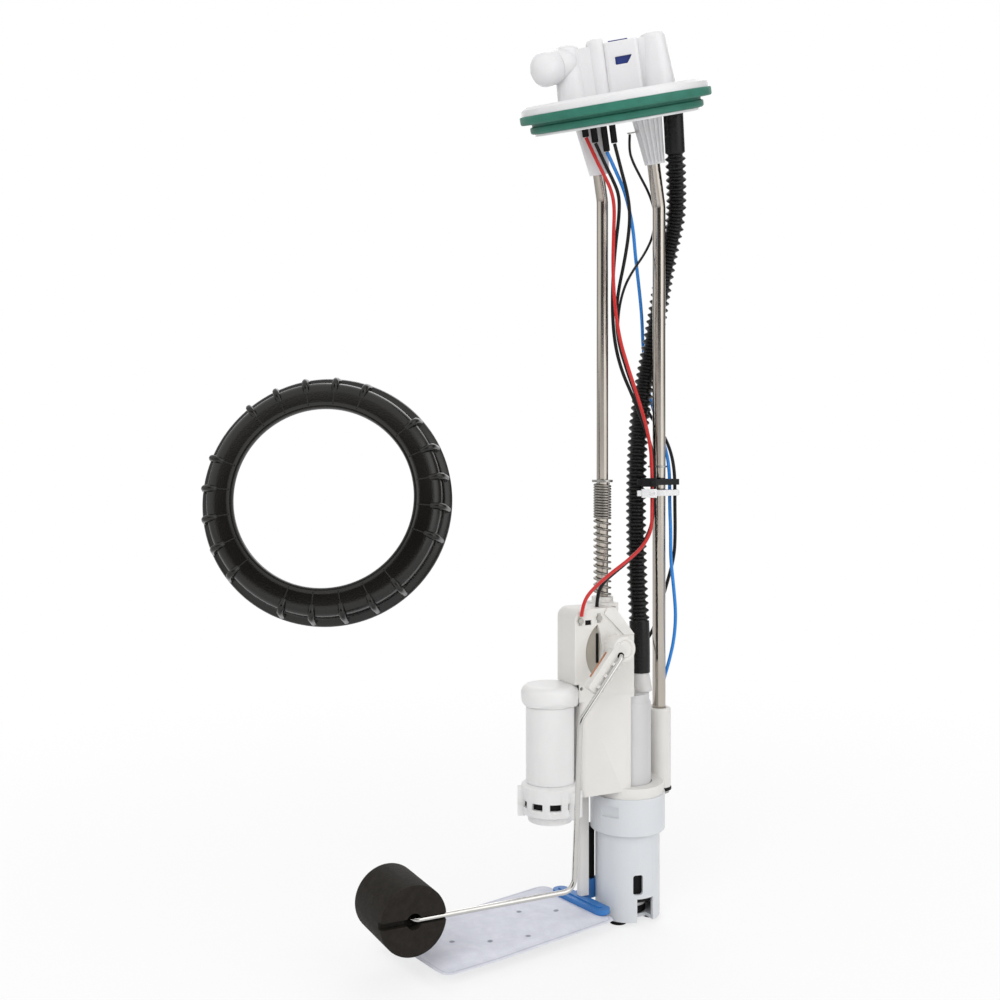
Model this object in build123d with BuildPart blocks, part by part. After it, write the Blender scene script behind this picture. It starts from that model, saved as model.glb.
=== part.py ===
from build123d import *
import os
from math import atan2, cos, degrees, pi, radians, sin, sqrt, tan

os.makedirs("parts", exist_ok=True)

# Frame: the origin is the middle of the seat that the head makes on the tank's neck.
# Z runs up along the straight guide rods, X along the sender's front, Y to its back.

# Head: how it leans on the rods, the disc, its skirt and the two-step gasket
head_tilt = 17.5
head_heading = 210.6
head_turn = -32.5
head_d = 112.0
head_t = 5.0
skirt_wall = 2.5
roof_t = 3.5
lip_inset = 2.25
lip_t = 1.3
gasket_over = 1.0
gasket_seat_t = 6.0
gasket_neck_inset = 4.25
gasket_neck_h = 5.0
gasket_neck_t = 5.55
gasket_groove = 1.4
gasket_groove_h = 1.2
neck_top = 0.2
seal_play = 0.1

# Towers on the head, from left to right: outlet elbow, column, plug shell, rod tower
elbow_at = (-24.0, -4.0)
elbow_d = 18.0
elbow_h = 31.0
elbow_taper = 3.5
spigot_h = 21.5
spigot_turn = 215.0
spigot_drop = 7.0
spigot_d = 9.4
spigot_bore_d = 6.0
spigot_l = 20.0
cap_d = 20.0
cap_start = 10.0
cap_l = 14.2
cap_play = 0.06
column_at = (-6.2, -3.0)
column_d = 12.0
column_h = 32.0
top_round = 3.4
socket_at = (8.0, 0.0)
socket_w = 20.0
socket_depth = 18.0
socket_h = 28.6
socket_wall = 2.2
socket_floor = 8.0
tower_at = (27.0, 6.0)
tower_d = 21.0
tower_h = 31.0
tower_taper = 6.0
web_t = 9.0
web_drop = 3.0
window_drop = 11.0
window_w = 8.4
window_h = 4.4
window_slant = 1.5

# Contacts in the plug socket and the blue lock that holds them
contact_count = 4
contact_pitch = 3.0
contact_w = 1.5
contact_t = 0.8
contact_h = 13.0
lock_h = 15.0
lock_wall = 2.0
lock_play = 0.15

# Guide rods and their sockets under the head
left_rod_at = (-1.7, 12.1)
left_rod_d = 7.0
left_rod_end = -312.0
right_rod_at = (38.5, 10.7)
right_rod_d = 8.0
rod_bend_z = -51.0
rod_bend_r = 14.0
rod_socket_l = 34.0
rod_socket_w = 21.0
rod_socket_depth = 15.0
rod_socket_tip = 12.0
rod_socket_shift = 1.4
rod_grip = 0.04
clip_t = 1.5
clip_d = 12.6

# Return spring round the left rod: a closely wound part above, an open part below
spring_top = -220.9
spring_d = 11.0
spring_wire = 1.4
spring_close_coils = 13
spring_close_pitch = 1.6
spring_open_coils = 12

# Carrier: the moulding that slides on the rods
column_left = -36.9
column_right = 3.2
front_y = -15.0
split_y = 2.0
column_back_y = 5.0
back_y = 19.0
deck_z = -343.6
column_z = 51.1
column_round = 6.0
corner_w = 13.5
corner_h = 16.5
plate_left = -32.3
plate_right = 2.6
plate_end = -400.4
wall = 2.0
seat_boss_h = 3.0
seat_boss_d = 13.0
rod_boss_d = 12.4
rod_play = 0.06
web_right = 47.0
web_top = -360.0
web_back_t = 2.4
post_w = 5.7
post_d = 4.0

# Sender's lens-shaped opening, the card behind it and the strip on the card
lens_x = -21.8
lens_drop = 24.6
lens_h = 31.0
lens_left = 7.9
lens_right = 2.7
lens_lean = 1.6
card_w = 16.5
card_h = 37.5
card_t = 1.2
strip_w = 1.6
strip_l = 17.0

# Sleeve that runs on the right rod
sleeve_d = 14.4
sleeve_end = -408.6
bumper_t = 1.8

# Pump with its cup and collar
pump_at = (9.0, 1.0)
pump_d = 28.0
pump_top = -346.2
pump_end = -471.0
pump_neck_at = (18.6, 1.8)
pump_neck_h = 11.0
pump_neck_d = 10.8
pump_neck_base_d = 14.8
cup_d = 38.4
cup_wall = 2.0
cup_end = -477.5
collar_d = 44.6
collar_top = -405.0
collar_end = -427.0
collar_shelf = 3.0
cup_play = 0.1
foot_d = 11.0
foot_t = 2.5

# Filter canister beside the carrier
can_at = (-47.0, -4.0)
can_d = 27.8
can_lid_d = 33.4
can_lid_top = -335.6
can_lid_end = -347.5
can_end = -391.5
can_base_d = 33.0
can_base_end = -413.6
can_window_z = -402.6
ear_h = 15.0

# Suction tube, strainer frame and the flat strainer
suction_at = (-9.5, 16.2)
suction_d = 8.0
strainer_l = 119.0
strainer_w = 69.5
strainer_t = 7.5
strainer_top = -469.6
strainer_corner = (-12.2, -23.0)
strainer_turn = 188.5
frame_t = 3.2
frame_w = 12.0
frame_l = 54.0
stud_d = 12.0

# Float arm: hub, pin, wire and float
pivot_x = -13.1
pivot_drop = 22.2
hub_d = 17.0
hub_front = -30.5
hub_back = -21.0
pin_d = 4.0
pin_play = 0.05
arm_l = 27.0
arm_w = 12.0
arm_t = 5.0
wiper_l = 17.0
wiper_t = 0.5
wiper_w = 2.0
wire_d = 3.0
wire_y = -32.0
wire_knee = (-43.4, -351.6)
wire_heel = (-47.6, -445.2)
wire_tip = (-144.2, -444.6)
wire_bend_r = 7.0
float_d = 37.0
float_l = 39.0
float_front = -34.0

# Lock ring that clamps the head to the tank, standing by itself to the left
ring_at = (-159.6, 57.7, -230.8)
ring_heading = 243.0
ring_tilt = 10.0
ring_d = 144.0
ring_shoulder_d = 135.4
ring_hole_d = 103.6
ring_h = 20.0
ring_top_t = 4.0
ring_wall = 6.2
rib_groups = 4
ribs_per_group = 5
rib_pitch = 15.0
rib_first = 70.5
rib_w = 2.2
rib_h = 1.2

# Hose, leads and the ties that hold them to the right rod
hose_d = 12.6
hose_bore_d = 8.4
hose_play = 0.1
hose_at = (34.3, 13.3)
lead_d = 2.1
earth_lead_d = 1.6
boot_d = 3.8
boot_y = -17.0
boot_ends = {"red": (-19.0, -11.0), "black_sender": (-14.0, -15.0),
             "blue": (-8.0, -21.0), "black_pump": (-3.0, -17.0)}
tie_band = 1.2
tie_w = 3.6
tie_play = 0.45
black_tie_z = -219.0
white_tie_z = -225.6
tied = {"red": (28.5, 3.6), "black_sender": (31.8, 6.0),
        "blue": (44.9, 8.5), "black_pump": (46.2, 4.8)}
tie_run = (-212.0, -236.0)

# Places worked out from the driving dimensions
head_normal = Vector(sin(radians(head_tilt)) * cos(radians(head_heading)),
                     sin(radians(head_tilt)) * sin(radians(head_heading)),
                     cos(radians(head_tilt)))
head_aim = Vector(cos(radians(head_turn)), sin(radians(head_turn)), 0)
head_x = (head_aim - head_normal * head_aim.dot(head_normal)).normalized()
head = Plane(origin=(0, 0, 0), x_dir=head_x, z_dir=head_normal)
head_section = Plane(origin=(0, 0, 0), x_dir=head.x_dir, z_dir=-head.y_dir)
head_axis = Axis((0, 0, 0), head_normal)
deck = gasket_seat_t + head_t
roof = deck - roof_t
gasket_d = head_d + 2 * gasket_over
gasket_neck_d = head_d - 2 * gasket_neck_inset
gasket_bore_d = gasket_neck_d - 2 * gasket_neck_t
lip_d = gasket_neck_d - 2 * lip_inset
skirt_r = gasket_bore_d / 2 - seal_play
lip_base = -gasket_neck_h
carrier_top = deck_z + column_z
pivot_at = (pivot_x, carrier_top - pivot_drop)
pivot_z = pivot_at[1]
ring_thread_d = ring_shoulder_d - 2 * ring_wall


def on_head(x, y, h):
    """The point x, y of the head's plane, h above the seat, in the part's frame."""
    return head.from_local_coords(Vector(x, y, h))


def rod_foot(at):
    """Where the upper stretch of a rod meets the seat plane, in head coordinates."""
    bend = Vector(at[0], at[1], rod_bend_z)
    return head.to_local_coords(bend - head_normal * bend.dot(head_normal))


def save(part, name):
    """Label a finished piece and write its file."""
    part.label = name
    export_step(part, f"parts/{name}.step")


def bend_radii(points):
    """The arc at each corner: as large as the shorter run beside it allows."""
    runs = [b - a for a, b in zip(points, points[1:])]
    radii = []
    for before, after in zip(runs, runs[1:]):
        turn = radians(before.get_angle(after))
        radii.append(0.45 * min(before.length, after.length) / tan(turn / 2))
    return radii


def cord(points, diameter, name, bore=0.0):
    """A tube along straight runs joined by tangent arcs; prints its radii and volume."""
    route = [Vector(*p) for p in points]
    radii = bend_radii(route)
    start = Plane(origin=route[0], z_dir=route[1] - route[0])
    with BuildPart() as tube:
        with BuildLine() as path:
            FilletPolyline(*route, radius=radii)
        with BuildSketch(start):
            Circle(diameter / 2)
            if bore:
                Circle(bore / 2, mode=Mode.SUBTRACT)
        sweep(path=path.wires()[0])
    length = path.wires()[0].length
    section = pi / 4 * (diameter**2 - bore**2)
    print(name, "length", round(length, 1), "least radius", round(min(radii), 1),
          "volume over section times length", round(tube.part.volume / (section * length), 4))
    save(tube.part, name)


left_foot = rod_foot(left_rod_at)
right_foot = rod_foot(right_rod_at)

# Head: disc, skirt and lip turned in one, then towers above and sockets below
with BuildPart() as flange_head:
    with BuildSketch(head_section):
        with BuildLine():
            Polyline((0, roof), (skirt_r - skirt_wall, roof),
                     (skirt_r - skirt_wall, lip_base - lip_t), (lip_d / 2, lip_base - lip_t),
                     (lip_d / 2, lip_base), (skirt_r, lip_base), (skirt_r, gasket_seat_t),
                     (head_d / 2, gasket_seat_t), (head_d / 2, deck - 1.5),
                     (head_d / 2 - 1.5, deck), (0, deck), close=True)
        make_face()
    revolve(axis=head_axis)
    # Tapered towers
    with BuildSketch(head.offset(deck)):
        with Locations(elbow_at):
            Circle(elbow_d / 2)
    extrude(amount=elbow_h, taper=elbow_taper)
    with BuildSketch(head.offset(deck)):
        with Locations(tower_at):
            Circle(tower_d / 2)
    extrude(amount=tower_h, taper=tower_taper)
    with BuildSketch(head.offset(deck)):
        with Locations(column_at):
            Circle(column_d / 2)
    extrude(amount=column_h)
    tops = flange_head.edges().filter_by(GeomType.CIRCLE).filter_by(
        lambda e: head.to_local_coords(e.center()).Z > deck + elbow_h - 1
        and e.radius < tower_d / 2)
    fillet(tops, radius=top_round)
    # Webs that join the elbow to the column and the plug shell to the rod tower
    for left, right, height in ((elbow_at, column_at, elbow_h - web_drop),
                                (socket_at, tower_at, socket_h)):
        with BuildSketch(head.offset(deck)):
            with Locations(left, right):
                Circle(web_t / 2)
            make_hull()
        extrude(amount=height)
    # Room for the plug shell
    with BuildSketch(head.offset(deck)):
        with Locations(socket_at):
            RectangleRounded(socket_w, socket_depth, 2.5)
    extrude(amount=column_h, mode=Mode.SUBTRACT)
    # Outlet spigot, with a bead that keeps the hose on
    aim = radians(spigot_turn)
    drop = radians(spigot_drop)
    spigot_axis = (head.x_dir * (cos(aim) * cos(drop)) + head.y_dir * (sin(aim) * cos(drop))
                   - head.z_dir * sin(drop)).normalized()
    spigot = Plane(origin=on_head(elbow_at[0], elbow_at[1], deck + spigot_h),
                   x_dir=spigot_axis.cross(head.z_dir), z_dir=spigot_axis)
    with BuildSketch(spigot):
        Circle(spigot_d / 2)
    extrude(amount=spigot_l)
    with BuildSketch(spigot.offset(spigot_l)):
        Circle(spigot_bore_d / 2)
    extrude(amount=-spigot_l, mode=Mode.SUBTRACT)
    # Rod sockets under the roof: wide at the head, narrow where the rod comes out
    for foot, aside in ((left_foot, -rod_socket_shift), (right_foot, -rod_socket_shift)):
        with BuildSketch(head.offset(roof)):
            with Locations((foot.X + aside, foot.Y)):
                RectangleRounded(rod_socket_w, rod_socket_depth, 2)
        with BuildSketch(head.offset(-rod_socket_l)):
            with Locations((foot.X - aside / 2, foot.Y)):
                RectangleRounded(rod_socket_tip, rod_socket_tip, 2)
        loft()
    for foot, rod_d in ((left_foot, left_rod_d), (right_foot, right_rod_d)):
        with BuildSketch(head.offset(-rod_socket_l)):
            with Locations((foot.X, foot.Y)):
                Circle(rod_d / 2 + rod_grip)
        extrude(amount=rod_socket_l, mode=Mode.SUBTRACT)
save(flange_head.part, "flange_head")

# Plug shell, open upward, with the slanted window that shows the lock
with BuildPart() as plug_shell:
    with BuildSketch(head.offset(deck)):
        with Locations(socket_at):
            RectangleRounded(socket_w, socket_depth, 2.5)
    extrude(amount=socket_h)
    with BuildSketch(head.offset(deck + socket_h)):
        with Locations(socket_at):
            RectangleRounded(socket_w - 2 * socket_wall, socket_depth - 2 * socket_wall, 1.2)
    extrude(amount=socket_floor - socket_h, mode=Mode.SUBTRACT)
    window = Plane(origin=on_head(socket_at[0], socket_at[1] - socket_depth / 2,
                                  deck + socket_h - window_drop),
                   x_dir=head.x_dir, z_dir=-head.y_dir)
    with BuildSketch(window):
        with BuildLine():
            Polyline((-window_w / 2, -window_h / 2), (window_w / 2 - window_slant, -window_h / 2),
                     (window_w / 2 + window_slant, window_h / 2), (-window_w / 2, window_h / 2),
                     close=True)
        make_face()
    extrude(amount=-socket_wall - 0.5, mode=Mode.SUBTRACT)
save(plug_shell.part, "plug_shell")

# Gasket: a wide step that seats on the neck, a narrower one inside it, a groove between
neck_r = gasket_neck_d / 2
with BuildPart() as flange_gasket:
    with BuildSketch(head_section):
        with BuildLine():
            Polyline((gasket_bore_d / 2, lip_base + seal_play), (neck_r - 0.8, lip_base + seal_play),
                     (neck_r, lip_base + 0.9), (neck_r, neck_top),
                     (neck_r - gasket_groove, neck_top),
                     (neck_r - gasket_groove, neck_top + gasket_groove_h),
                     (gasket_d / 2 - 0.6, neck_top + gasket_groove_h),
                     (gasket_d / 2, neck_top + gasket_groove_h + 0.6), (gasket_d / 2, gasket_seat_t),
                     (gasket_bore_d / 2, gasket_seat_t), close=True)
        make_face()
    revolve(axis=head_axis)
save(flange_gasket.part, "flange_gasket")

# Contacts: a row of flat pins on the floor of the plug socket
with BuildPart() as connector_terminals:
    with BuildSketch(head.offset(deck + socket_floor)):
        with Locations(socket_at):
            with GridLocations(contact_pitch, contact_pitch, contact_count, 1):
                Rectangle(contact_w, contact_t)
    extrude(amount=contact_h)
save(connector_terminals.part, "connector_terminals")

# Lock: a frame that stands in the socket round the contacts
lock_w = socket_w - 2 * (socket_wall + lock_play)
lock_depth = socket_depth - 2 * (socket_wall + lock_play)
with BuildPart() as connector_lock:
    with BuildSketch(head.offset(deck + socket_floor)):
        with Locations(socket_at):
            RectangleRounded(lock_w, lock_depth, 1.0)
            RectangleRounded(lock_w - 2 * lock_wall, lock_depth - 2 * lock_wall, 0.6,
                             mode=Mode.SUBTRACT)
    extrude(amount=lock_h)
save(connector_lock.part, "connector_lock")

# Earth tab: a flat lug held on the wall of the right rod's socket
with BuildPart() as earth_tab:
    with BuildSketch(head.offset(-13.0)):
        with Locations((right_foot.X - 9.5, 8.8)):
            SlotOverall(8.0, 3.2)
    extrude(amount=-0.8)
    add(flange_head.part, mode=Mode.SUBTRACT)
save(earth_tab.part, "earth_tab")

# Cap on the outlet spigot: dome-ended, it slides off along the spigot
with BuildPart() as port_cap:
    with BuildSketch(spigot.offset(cap_start)):
        Circle(cap_d / 2)
    extrude(amount=cap_l)
    far_edge = port_cap.edges().filter_by(GeomType.CIRCLE).sort_by(
        lambda e: spigot.to_local_coords(e.center()).Z)[-1]
    fillet(far_edge, radius=cap_d / 2 - 1.2)
    with BuildSketch(spigot.offset(cap_start)):
        Circle(spigot_d / 2 + cap_play)
    extrude(amount=spigot_l - cap_start + 0.4, mode=Mode.SUBTRACT)
save(port_cap.part, "port_cap")

# Guide rods: the upper stretch leans with the head, the lower one is upright
bumper_end = sleeve_end - bumper_t
clip_gap = 0.3
right_rod_end = bumper_end - clip_gap - clip_t - 2.0
for name, at, foot, rod_d, rod_end in (
        ("guide_rod_left", left_rod_at, left_foot, left_rod_d, left_rod_end),
        ("guide_rod_right", right_rod_at, right_foot, right_rod_d, right_rod_end)):
    rod_top = on_head(foot.X, foot.Y, -0.5)
    with BuildPart() as rod:
        with BuildLine() as line:
            FilletPolyline(rod_top, (*at, rod_bend_z), (*at, rod_end), radius=rod_bend_r)
        with BuildSketch(Plane(origin=rod_top, z_dir=-head_normal)):
            Circle(rod_d / 2)
        sweep()
        chamfer(rod.edges().sort_by(Axis.Z)[0], length=0.6)
    save(rod.part, name)

# Clips: a washer above the spring, and one below the sleeve that the carrier rests on
for name, at, rod_d, top in (
        ("left_rod_clip", left_rod_at, left_rod_d, spring_top + clip_gap + clip_t),
        ("right_rod_clip", right_rod_at, right_rod_d, bumper_end - clip_gap)):
    with BuildPart() as clip:
        with BuildSketch(Plane.XY.offset(top)):
            with Locations(at):
                Circle(clip_d / 2)
                Circle(rod_d / 2, mode=Mode.SUBTRACT)
        extrude(amount=-clip_t)
    save(clip.part, name)

# Return spring: one wire, closely wound above and open below
spring_end = carrier_top + seat_boss_h + clip_gap
close_h = spring_close_coils * spring_close_pitch
open_top = spring_top - spring_wire / 2 - close_h
open_h = open_top - (spring_end + spring_wire / 2)
coil_r = (spring_d - spring_wire) / 2
with BuildPart() as return_spring:
    for pitch, height, bottom in ((open_h / spring_open_coils, open_h, spring_end + spring_wire / 2),
                                  (spring_close_pitch, close_h, open_top)):
        with BuildLine() as coil:
            Helix(pitch, height, coil_r, center=(*left_rod_at, bottom))
        with BuildSketch(Plane(origin=coil.line @ 0, x_dir=(0, 0, 1), z_dir=coil.line % 0)):
            RegularPolygon(spring_wire / 2, 6)
        sweep(path=coil.line, is_frenet=True)
save(return_spring.part, "return_spring")

# Carrier: the back half of the column, the lower housing, the web and the cup ring
column_mid = (column_left + column_right) / 2
column_w = column_right - column_left
boss_left = left_rod_at[0] - rod_boss_d / 2 - wall / 2
plate_mid = (plate_left + plate_right) / 2
plate_w = plate_right - plate_left
side_mid = (front_y + back_y) / 2
side_w = back_y - front_y
seam = 0.1
frame_top = strainer_top + frame_t
with BuildPart() as carrier_body:
    # Column's back half, open to the front where the sender closes it
    for bottom, height, inset, mode in ((deck_z, column_z, 0, Mode.ADD),
                                        (deck_z, column_z - wall, wall, Mode.SUBTRACT)):
        with BuildSketch(Plane.XY.offset(bottom)):
            with BuildLine():
                Polyline((column_left + inset, split_y), (column_right - inset, split_y),
                         (column_right - inset, back_y - inset), (boss_left + inset, back_y - inset),
                         (boss_left + inset, column_back_y - inset),
                         (column_left + inset, column_back_y - inset), close=True)
            make_face()
        extrude(amount=height, mode=mode)
        if mode == Mode.ADD:
            fillet(carrier_body.edges().filter_by(Axis.Y).group_by(Axis.Z)[-1].sort_by(Axis.X)[0],
                   radius=column_round)
    # Boss that the left rod slides in, with the spring's seat on top
    with BuildSketch(Plane.XY.offset(deck_z)):
        with Locations(left_rod_at):
            Circle(rod_boss_d / 2)
    extrude(amount=carrier_top - deck_z)
    with BuildSketch(Plane.XY.offset(carrier_top)):
        with Locations(left_rod_at):
            Circle(seat_boss_d / 2)
    extrude(amount=seat_boss_h)
    # Deck under the column, and the housing below it with its round front corners
    with BuildSketch(Plane.XY.offset(deck_z - wall)):
        with Locations((column_mid, (front_y + column_back_y) / 2)):
            Rectangle(column_w, column_back_y - front_y)
        with Locations((plate_mid, side_mid)):
            Rectangle(plate_w, side_w)
    extrude(amount=wall)
    with BuildSketch(Plane.XY.offset(plate_end)):
        with Locations((plate_mid, side_mid)):
            RectangleRounded(plate_w, side_w, 3.0)
            RectangleRounded(plate_w - 2 * wall, side_w - 2 * wall, 1.2, mode=Mode.SUBTRACT)
    extrude(amount=deck_z - plate_end)
    # Web behind the pump that carries the sleeve
    with BuildSketch(Plane.XY.offset(plate_end)):
        with Locations(((plate_left + wall + web_right) / 2, back_y - web_back_t / 2)):
            Rectangle(web_right - plate_left - wall, web_back_t)
    extrude(amount=web_top - plate_end)
    # Ring that sits on the cup's collar
    with BuildSketch(Plane.XY.offset(collar_top)):
        with Locations(pump_at):
            Circle(collar_d / 2 - 0.8)
    extrude(amount=plate_end - collar_top + 1.5)
    # Post that holds the strainer down
    with BuildSketch(Plane.XY.offset(frame_top + 0.2)):
        with Locations((-17.2, 9.0)):
            Rectangle(post_w, post_d)
    extrude(amount=plate_end - frame_top)
    with BuildSketch(Plane.XY.offset(plate_end - 3.0)):
        with Locations((-17.2, (7.0 + back_y) / 2)):
            Rectangle(post_w, back_y - 7.0)
    extrude(amount=6.0)
    # Room for the pump, the sleeve, the canister and the left rod
    with BuildSketch(Plane.XY.offset(collar_top)):
        with Locations(pump_at):
            Circle(pump_d / 2 + 0.6)
    extrude(amount=deck_z - wall - collar_top, mode=Mode.SUBTRACT)
    with BuildSketch(Plane.XY.offset(sleeve_end)):
        with Locations(right_rod_at):
            Circle(sleeve_d / 2)
    extrude(amount=web_top - sleeve_end, mode=Mode.SUBTRACT)
    with BuildSketch(Plane.XY.offset(can_base_end)):
        with Locations(can_at):
            Circle(can_base_d / 2 + seam)
    extrude(amount=can_end - can_base_end + 1, mode=Mode.SUBTRACT)
    with BuildSketch(Plane.XY.offset(can_lid_end - 1)):
        with Locations(can_at):
            Circle(can_lid_d / 2 + seam)
    extrude(amount=can_lid_top - can_lid_end + 1 + seam, mode=Mode.SUBTRACT)
    with BuildSketch(Plane.XY.offset(deck_z + 0.6)):
        with Locations(left_rod_at):
            Circle(left_rod_d / 2 + rod_play)
    extrude(amount=carrier_top - deck_z + seat_boss_h, mode=Mode.SUBTRACT)
save(carrier_body.part, "carrier_body")

# Sender housing: the column's front half, with its lens-shaped opening
front = Plane.XZ.offset(-front_y)
sender_depth = split_y - front_y
lens_z = carrier_top - lens_drop
lens_top = (lens_x, lens_z + lens_h / 2)
lens_bottom = (lens_x - lens_lean, lens_z - lens_h / 2)
with BuildPart() as sender_housing:
    with BuildSketch(front):
        with BuildLine():
            Polyline((column_left, deck_z), (column_right, deck_z),
                     (column_right, carrier_top - corner_h), (column_right - corner_w, carrier_top),
                     (column_left, carrier_top), close=True)
        make_face()
        fillet(vertices().sort_by(Axis.Y)[-2:].sort_by(Axis.X)[0], radius=column_round)
    extrude(amount=-sender_depth)
    with BuildSketch(front.offset(-wall)):
        with BuildLine():
            Polyline((column_left + wall, deck_z), (column_right - wall, deck_z),
                     (column_right - wall, carrier_top - corner_h - 0.5),
                     (column_right - corner_w - 1.0, carrier_top - wall),
                     (column_left + wall, carrier_top - wall), close=True)
        make_face()
    extrude(amount=-sender_depth, mode=Mode.SUBTRACT)
    # Boss that carries the arm's pin
    with BuildSketch(front):
        with Locations(pivot_at):
            Circle(5.0)
    extrude(amount=front_y - hub_back - 0.4)
    with BuildSketch(front.offset(front_y - hub_back)):
        with Locations(pivot_at):
            Circle(pin_d / 2 + 0.02)
    extrude(amount=-sender_depth, mode=Mode.SUBTRACT)
    # Lens-shaped opening, the lead's hole and the peg hole
    with BuildSketch(front):
        with BuildLine():
            ThreePointArc(lens_top, (lens_x - lens_left, lens_z), lens_bottom)
            ThreePointArc(lens_bottom, (lens_x + lens_right, lens_z), lens_top)
        make_face()
        with Locations((-28.0, carrier_top - 7.8)):
            Rectangle(4.2, 2.8)
        with Locations((-32.5, deck_z + 5.6)):
            Circle(1.0)
    extrude(amount=-wall, mode=Mode.SUBTRACT)
    # Hole in the top for the sender's lead, and room for the canister's lid
    with BuildSketch(Plane.XY.offset(carrier_top)):
        with Locations((-18.0, -8.0)):
            Circle(lead_d / 2 + 0.6)
    extrude(amount=-wall, mode=Mode.SUBTRACT)
    with BuildSketch(Plane.XY.offset(deck_z)):
        with Locations(can_at):
            Circle(can_lid_d / 2 + seam)
    extrude(amount=can_lid_top - deck_z + seam, mode=Mode.SUBTRACT)
save(sender_housing.part, "sender_housing")

# Card with the resistor track, and the dark contact strip on it
with BuildPart() as resistor_card:
    with BuildSketch(front.offset(-wall)):
        with Locations((lens_x - 2.9, lens_z + 0.8)):
            Rectangle(card_w, card_h)
    extrude(amount=-card_t)
save(resistor_card.part, "resistor_card")

with BuildPart() as contact_strip:
    with BuildSketch(front.offset(-wall)):
        with Locations((lens_x + 0.8, lens_z + 1.5)):
            Rectangle(strip_w, strip_l)
    extrude(amount=0.5)
save(contact_strip.part, "contact_strip")

# Terminals on the sender's front: a rivet head and a crimped tab each
rivet_at = ((-33.5, carrier_top - 6.5), (-21.0, carrier_top - 5.5))
with BuildPart() as sender_terminals:
    with BuildSketch(front):
        with Locations(*rivet_at):
            Circle(1.7)
    extrude(amount=1.3)
    with BuildSketch(front):
        with Locations(*rivet_at):
            Rectangle(2.0, 5.2)
    extrude(amount=0.5)
save(sender_terminals.part, "sender_terminals")

# Slanted cover strip on the sender's corner
cover_w = 7.4
cover_top_w = 5.5
cover_step = 3.4
with BuildPart() as sender_cover:
    with BuildSketch(front):
        with BuildLine():
            Polyline((column_right - corner_w - cover_top_w, carrier_top),
                     (column_right - corner_w, carrier_top), (column_right, carrier_top - corner_h),
                     (column_right - cover_w, carrier_top - corner_h),
                     (column_right - corner_w - cover_w, carrier_top - cover_step), close=True)
        make_face()
    extrude(amount=1.0)
save(sender_cover.part, "sender_cover")

# Sleeve on the right rod and the rubber bumper under it
with BuildPart() as guide_sleeve:
    with BuildSketch(Plane.XY.offset(sleeve_end)):
        with Locations(right_rod_at):
            Circle(sleeve_d / 2)
            Circle(right_rod_d / 2 + rod_play, mode=Mode.SUBTRACT)
    extrude(amount=web_top - sleeve_end)
    chamfer(guide_sleeve.edges().filter_by(GeomType.CIRCLE).group_by(Axis.Z)[-1], length=0.5)
save(guide_sleeve.part, "guide_sleeve")

with BuildPart() as sleeve_bumper:
    with BuildSketch(Plane.XY.offset(bumper_end)):
        with Locations(right_rod_at):
            Circle(sleeve_d / 2 + 0.4)
            Circle(right_rod_d / 2 + 0.3, mode=Mode.SUBTRACT)
    extrude(amount=bumper_t)
save(sleeve_bumper.part, "sleeve_bumper")

# Pump: casing with stepped ends, then its neck, contacts and rubber ring
pump_section = Plane(origin=(*pump_at, 0), x_dir=(1, 0, 0), z_dir=(0, -1, 0))
pump_axis = Axis((*pump_at, 0), (0, 0, 1))
pump_r = pump_d / 2
with BuildPart() as pump_motor:
    with BuildSketch(pump_section):
        with BuildLine():
            Polyline((0, pump_end), (pump_r - 3.0, pump_end), (pump_r - 1.2, pump_end + 4.0),
                     (pump_r - 1.2, pump_end + 9.0), (pump_r, pump_end + 10.0),
                     (pump_r, pump_top - 6.0), (pump_r - 1.0, pump_top - 4.0),
                     (pump_r - 1.0, pump_top), (0, pump_top), close=True)
        make_face()
    revolve(axis=pump_axis)
save(pump_motor.part, "pump_motor")

with BuildPart() as pump_neck:
    with BuildSketch(Plane.XY.offset(pump_top)):
        with Locations(pump_neck_at):
            Circle(pump_neck_base_d / 2)
    with BuildSketch(Plane.XY.offset(pump_top + pump_neck_h)):
        with Locations(pump_neck_at):
            Circle(pump_neck_d / 2)
    loft()
    with BuildSketch(Plane.XY.offset(pump_top)):
        with Locations(pump_neck_at):
            Circle(hose_bore_d / 2 - hose_play)
    extrude(amount=pump_neck_h + 12.0)
    with BuildSketch(Plane.XY.offset(pump_top)):
        with Locations(pump_neck_at):
            Circle(2.6)
    extrude(amount=pump_neck_h + 12.0, mode=Mode.SUBTRACT)
save(pump_neck.part, "pump_neck")

pump_contact_at = ((14.0, 11.4), (5.5, -10.2))
pump_contact_h = 5.2
with BuildPart() as pump_terminals:
    with BuildSketch(Plane.XY.offset(pump_top)):
        with Locations(*pump_contact_at):
            Rectangle(3.2, 0.8)
    extrude(amount=pump_contact_h)
save(pump_terminals.part, "pump_terminals")

cup_floor = cup_end + cup_wall
with BuildPart() as pump_damper:
    with BuildSketch(Plane.XY.offset(cup_floor)):
        with Locations(pump_at):
            Circle(pump_r - 3.4)
            Circle(pump_r - 8.0, mode=Mode.SUBTRACT)
    extrude(amount=pump_end - cup_floor)
save(pump_damper.part, "pump_damper")

# Cup round the pump's foot, with its side window and the notch at its rim
cup_r = cup_d / 2
cup_top = collar_top - collar_shelf


def facing(at, heading, z):
    """A plane at an upright axis, looking outward at a heading in degrees."""
    out = Vector(cos(radians(heading)), sin(radians(heading)), 0)
    return Plane(origin=(*at, z), x_dir=Vector(-out.Y, out.X, 0), z_dir=out)


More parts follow.
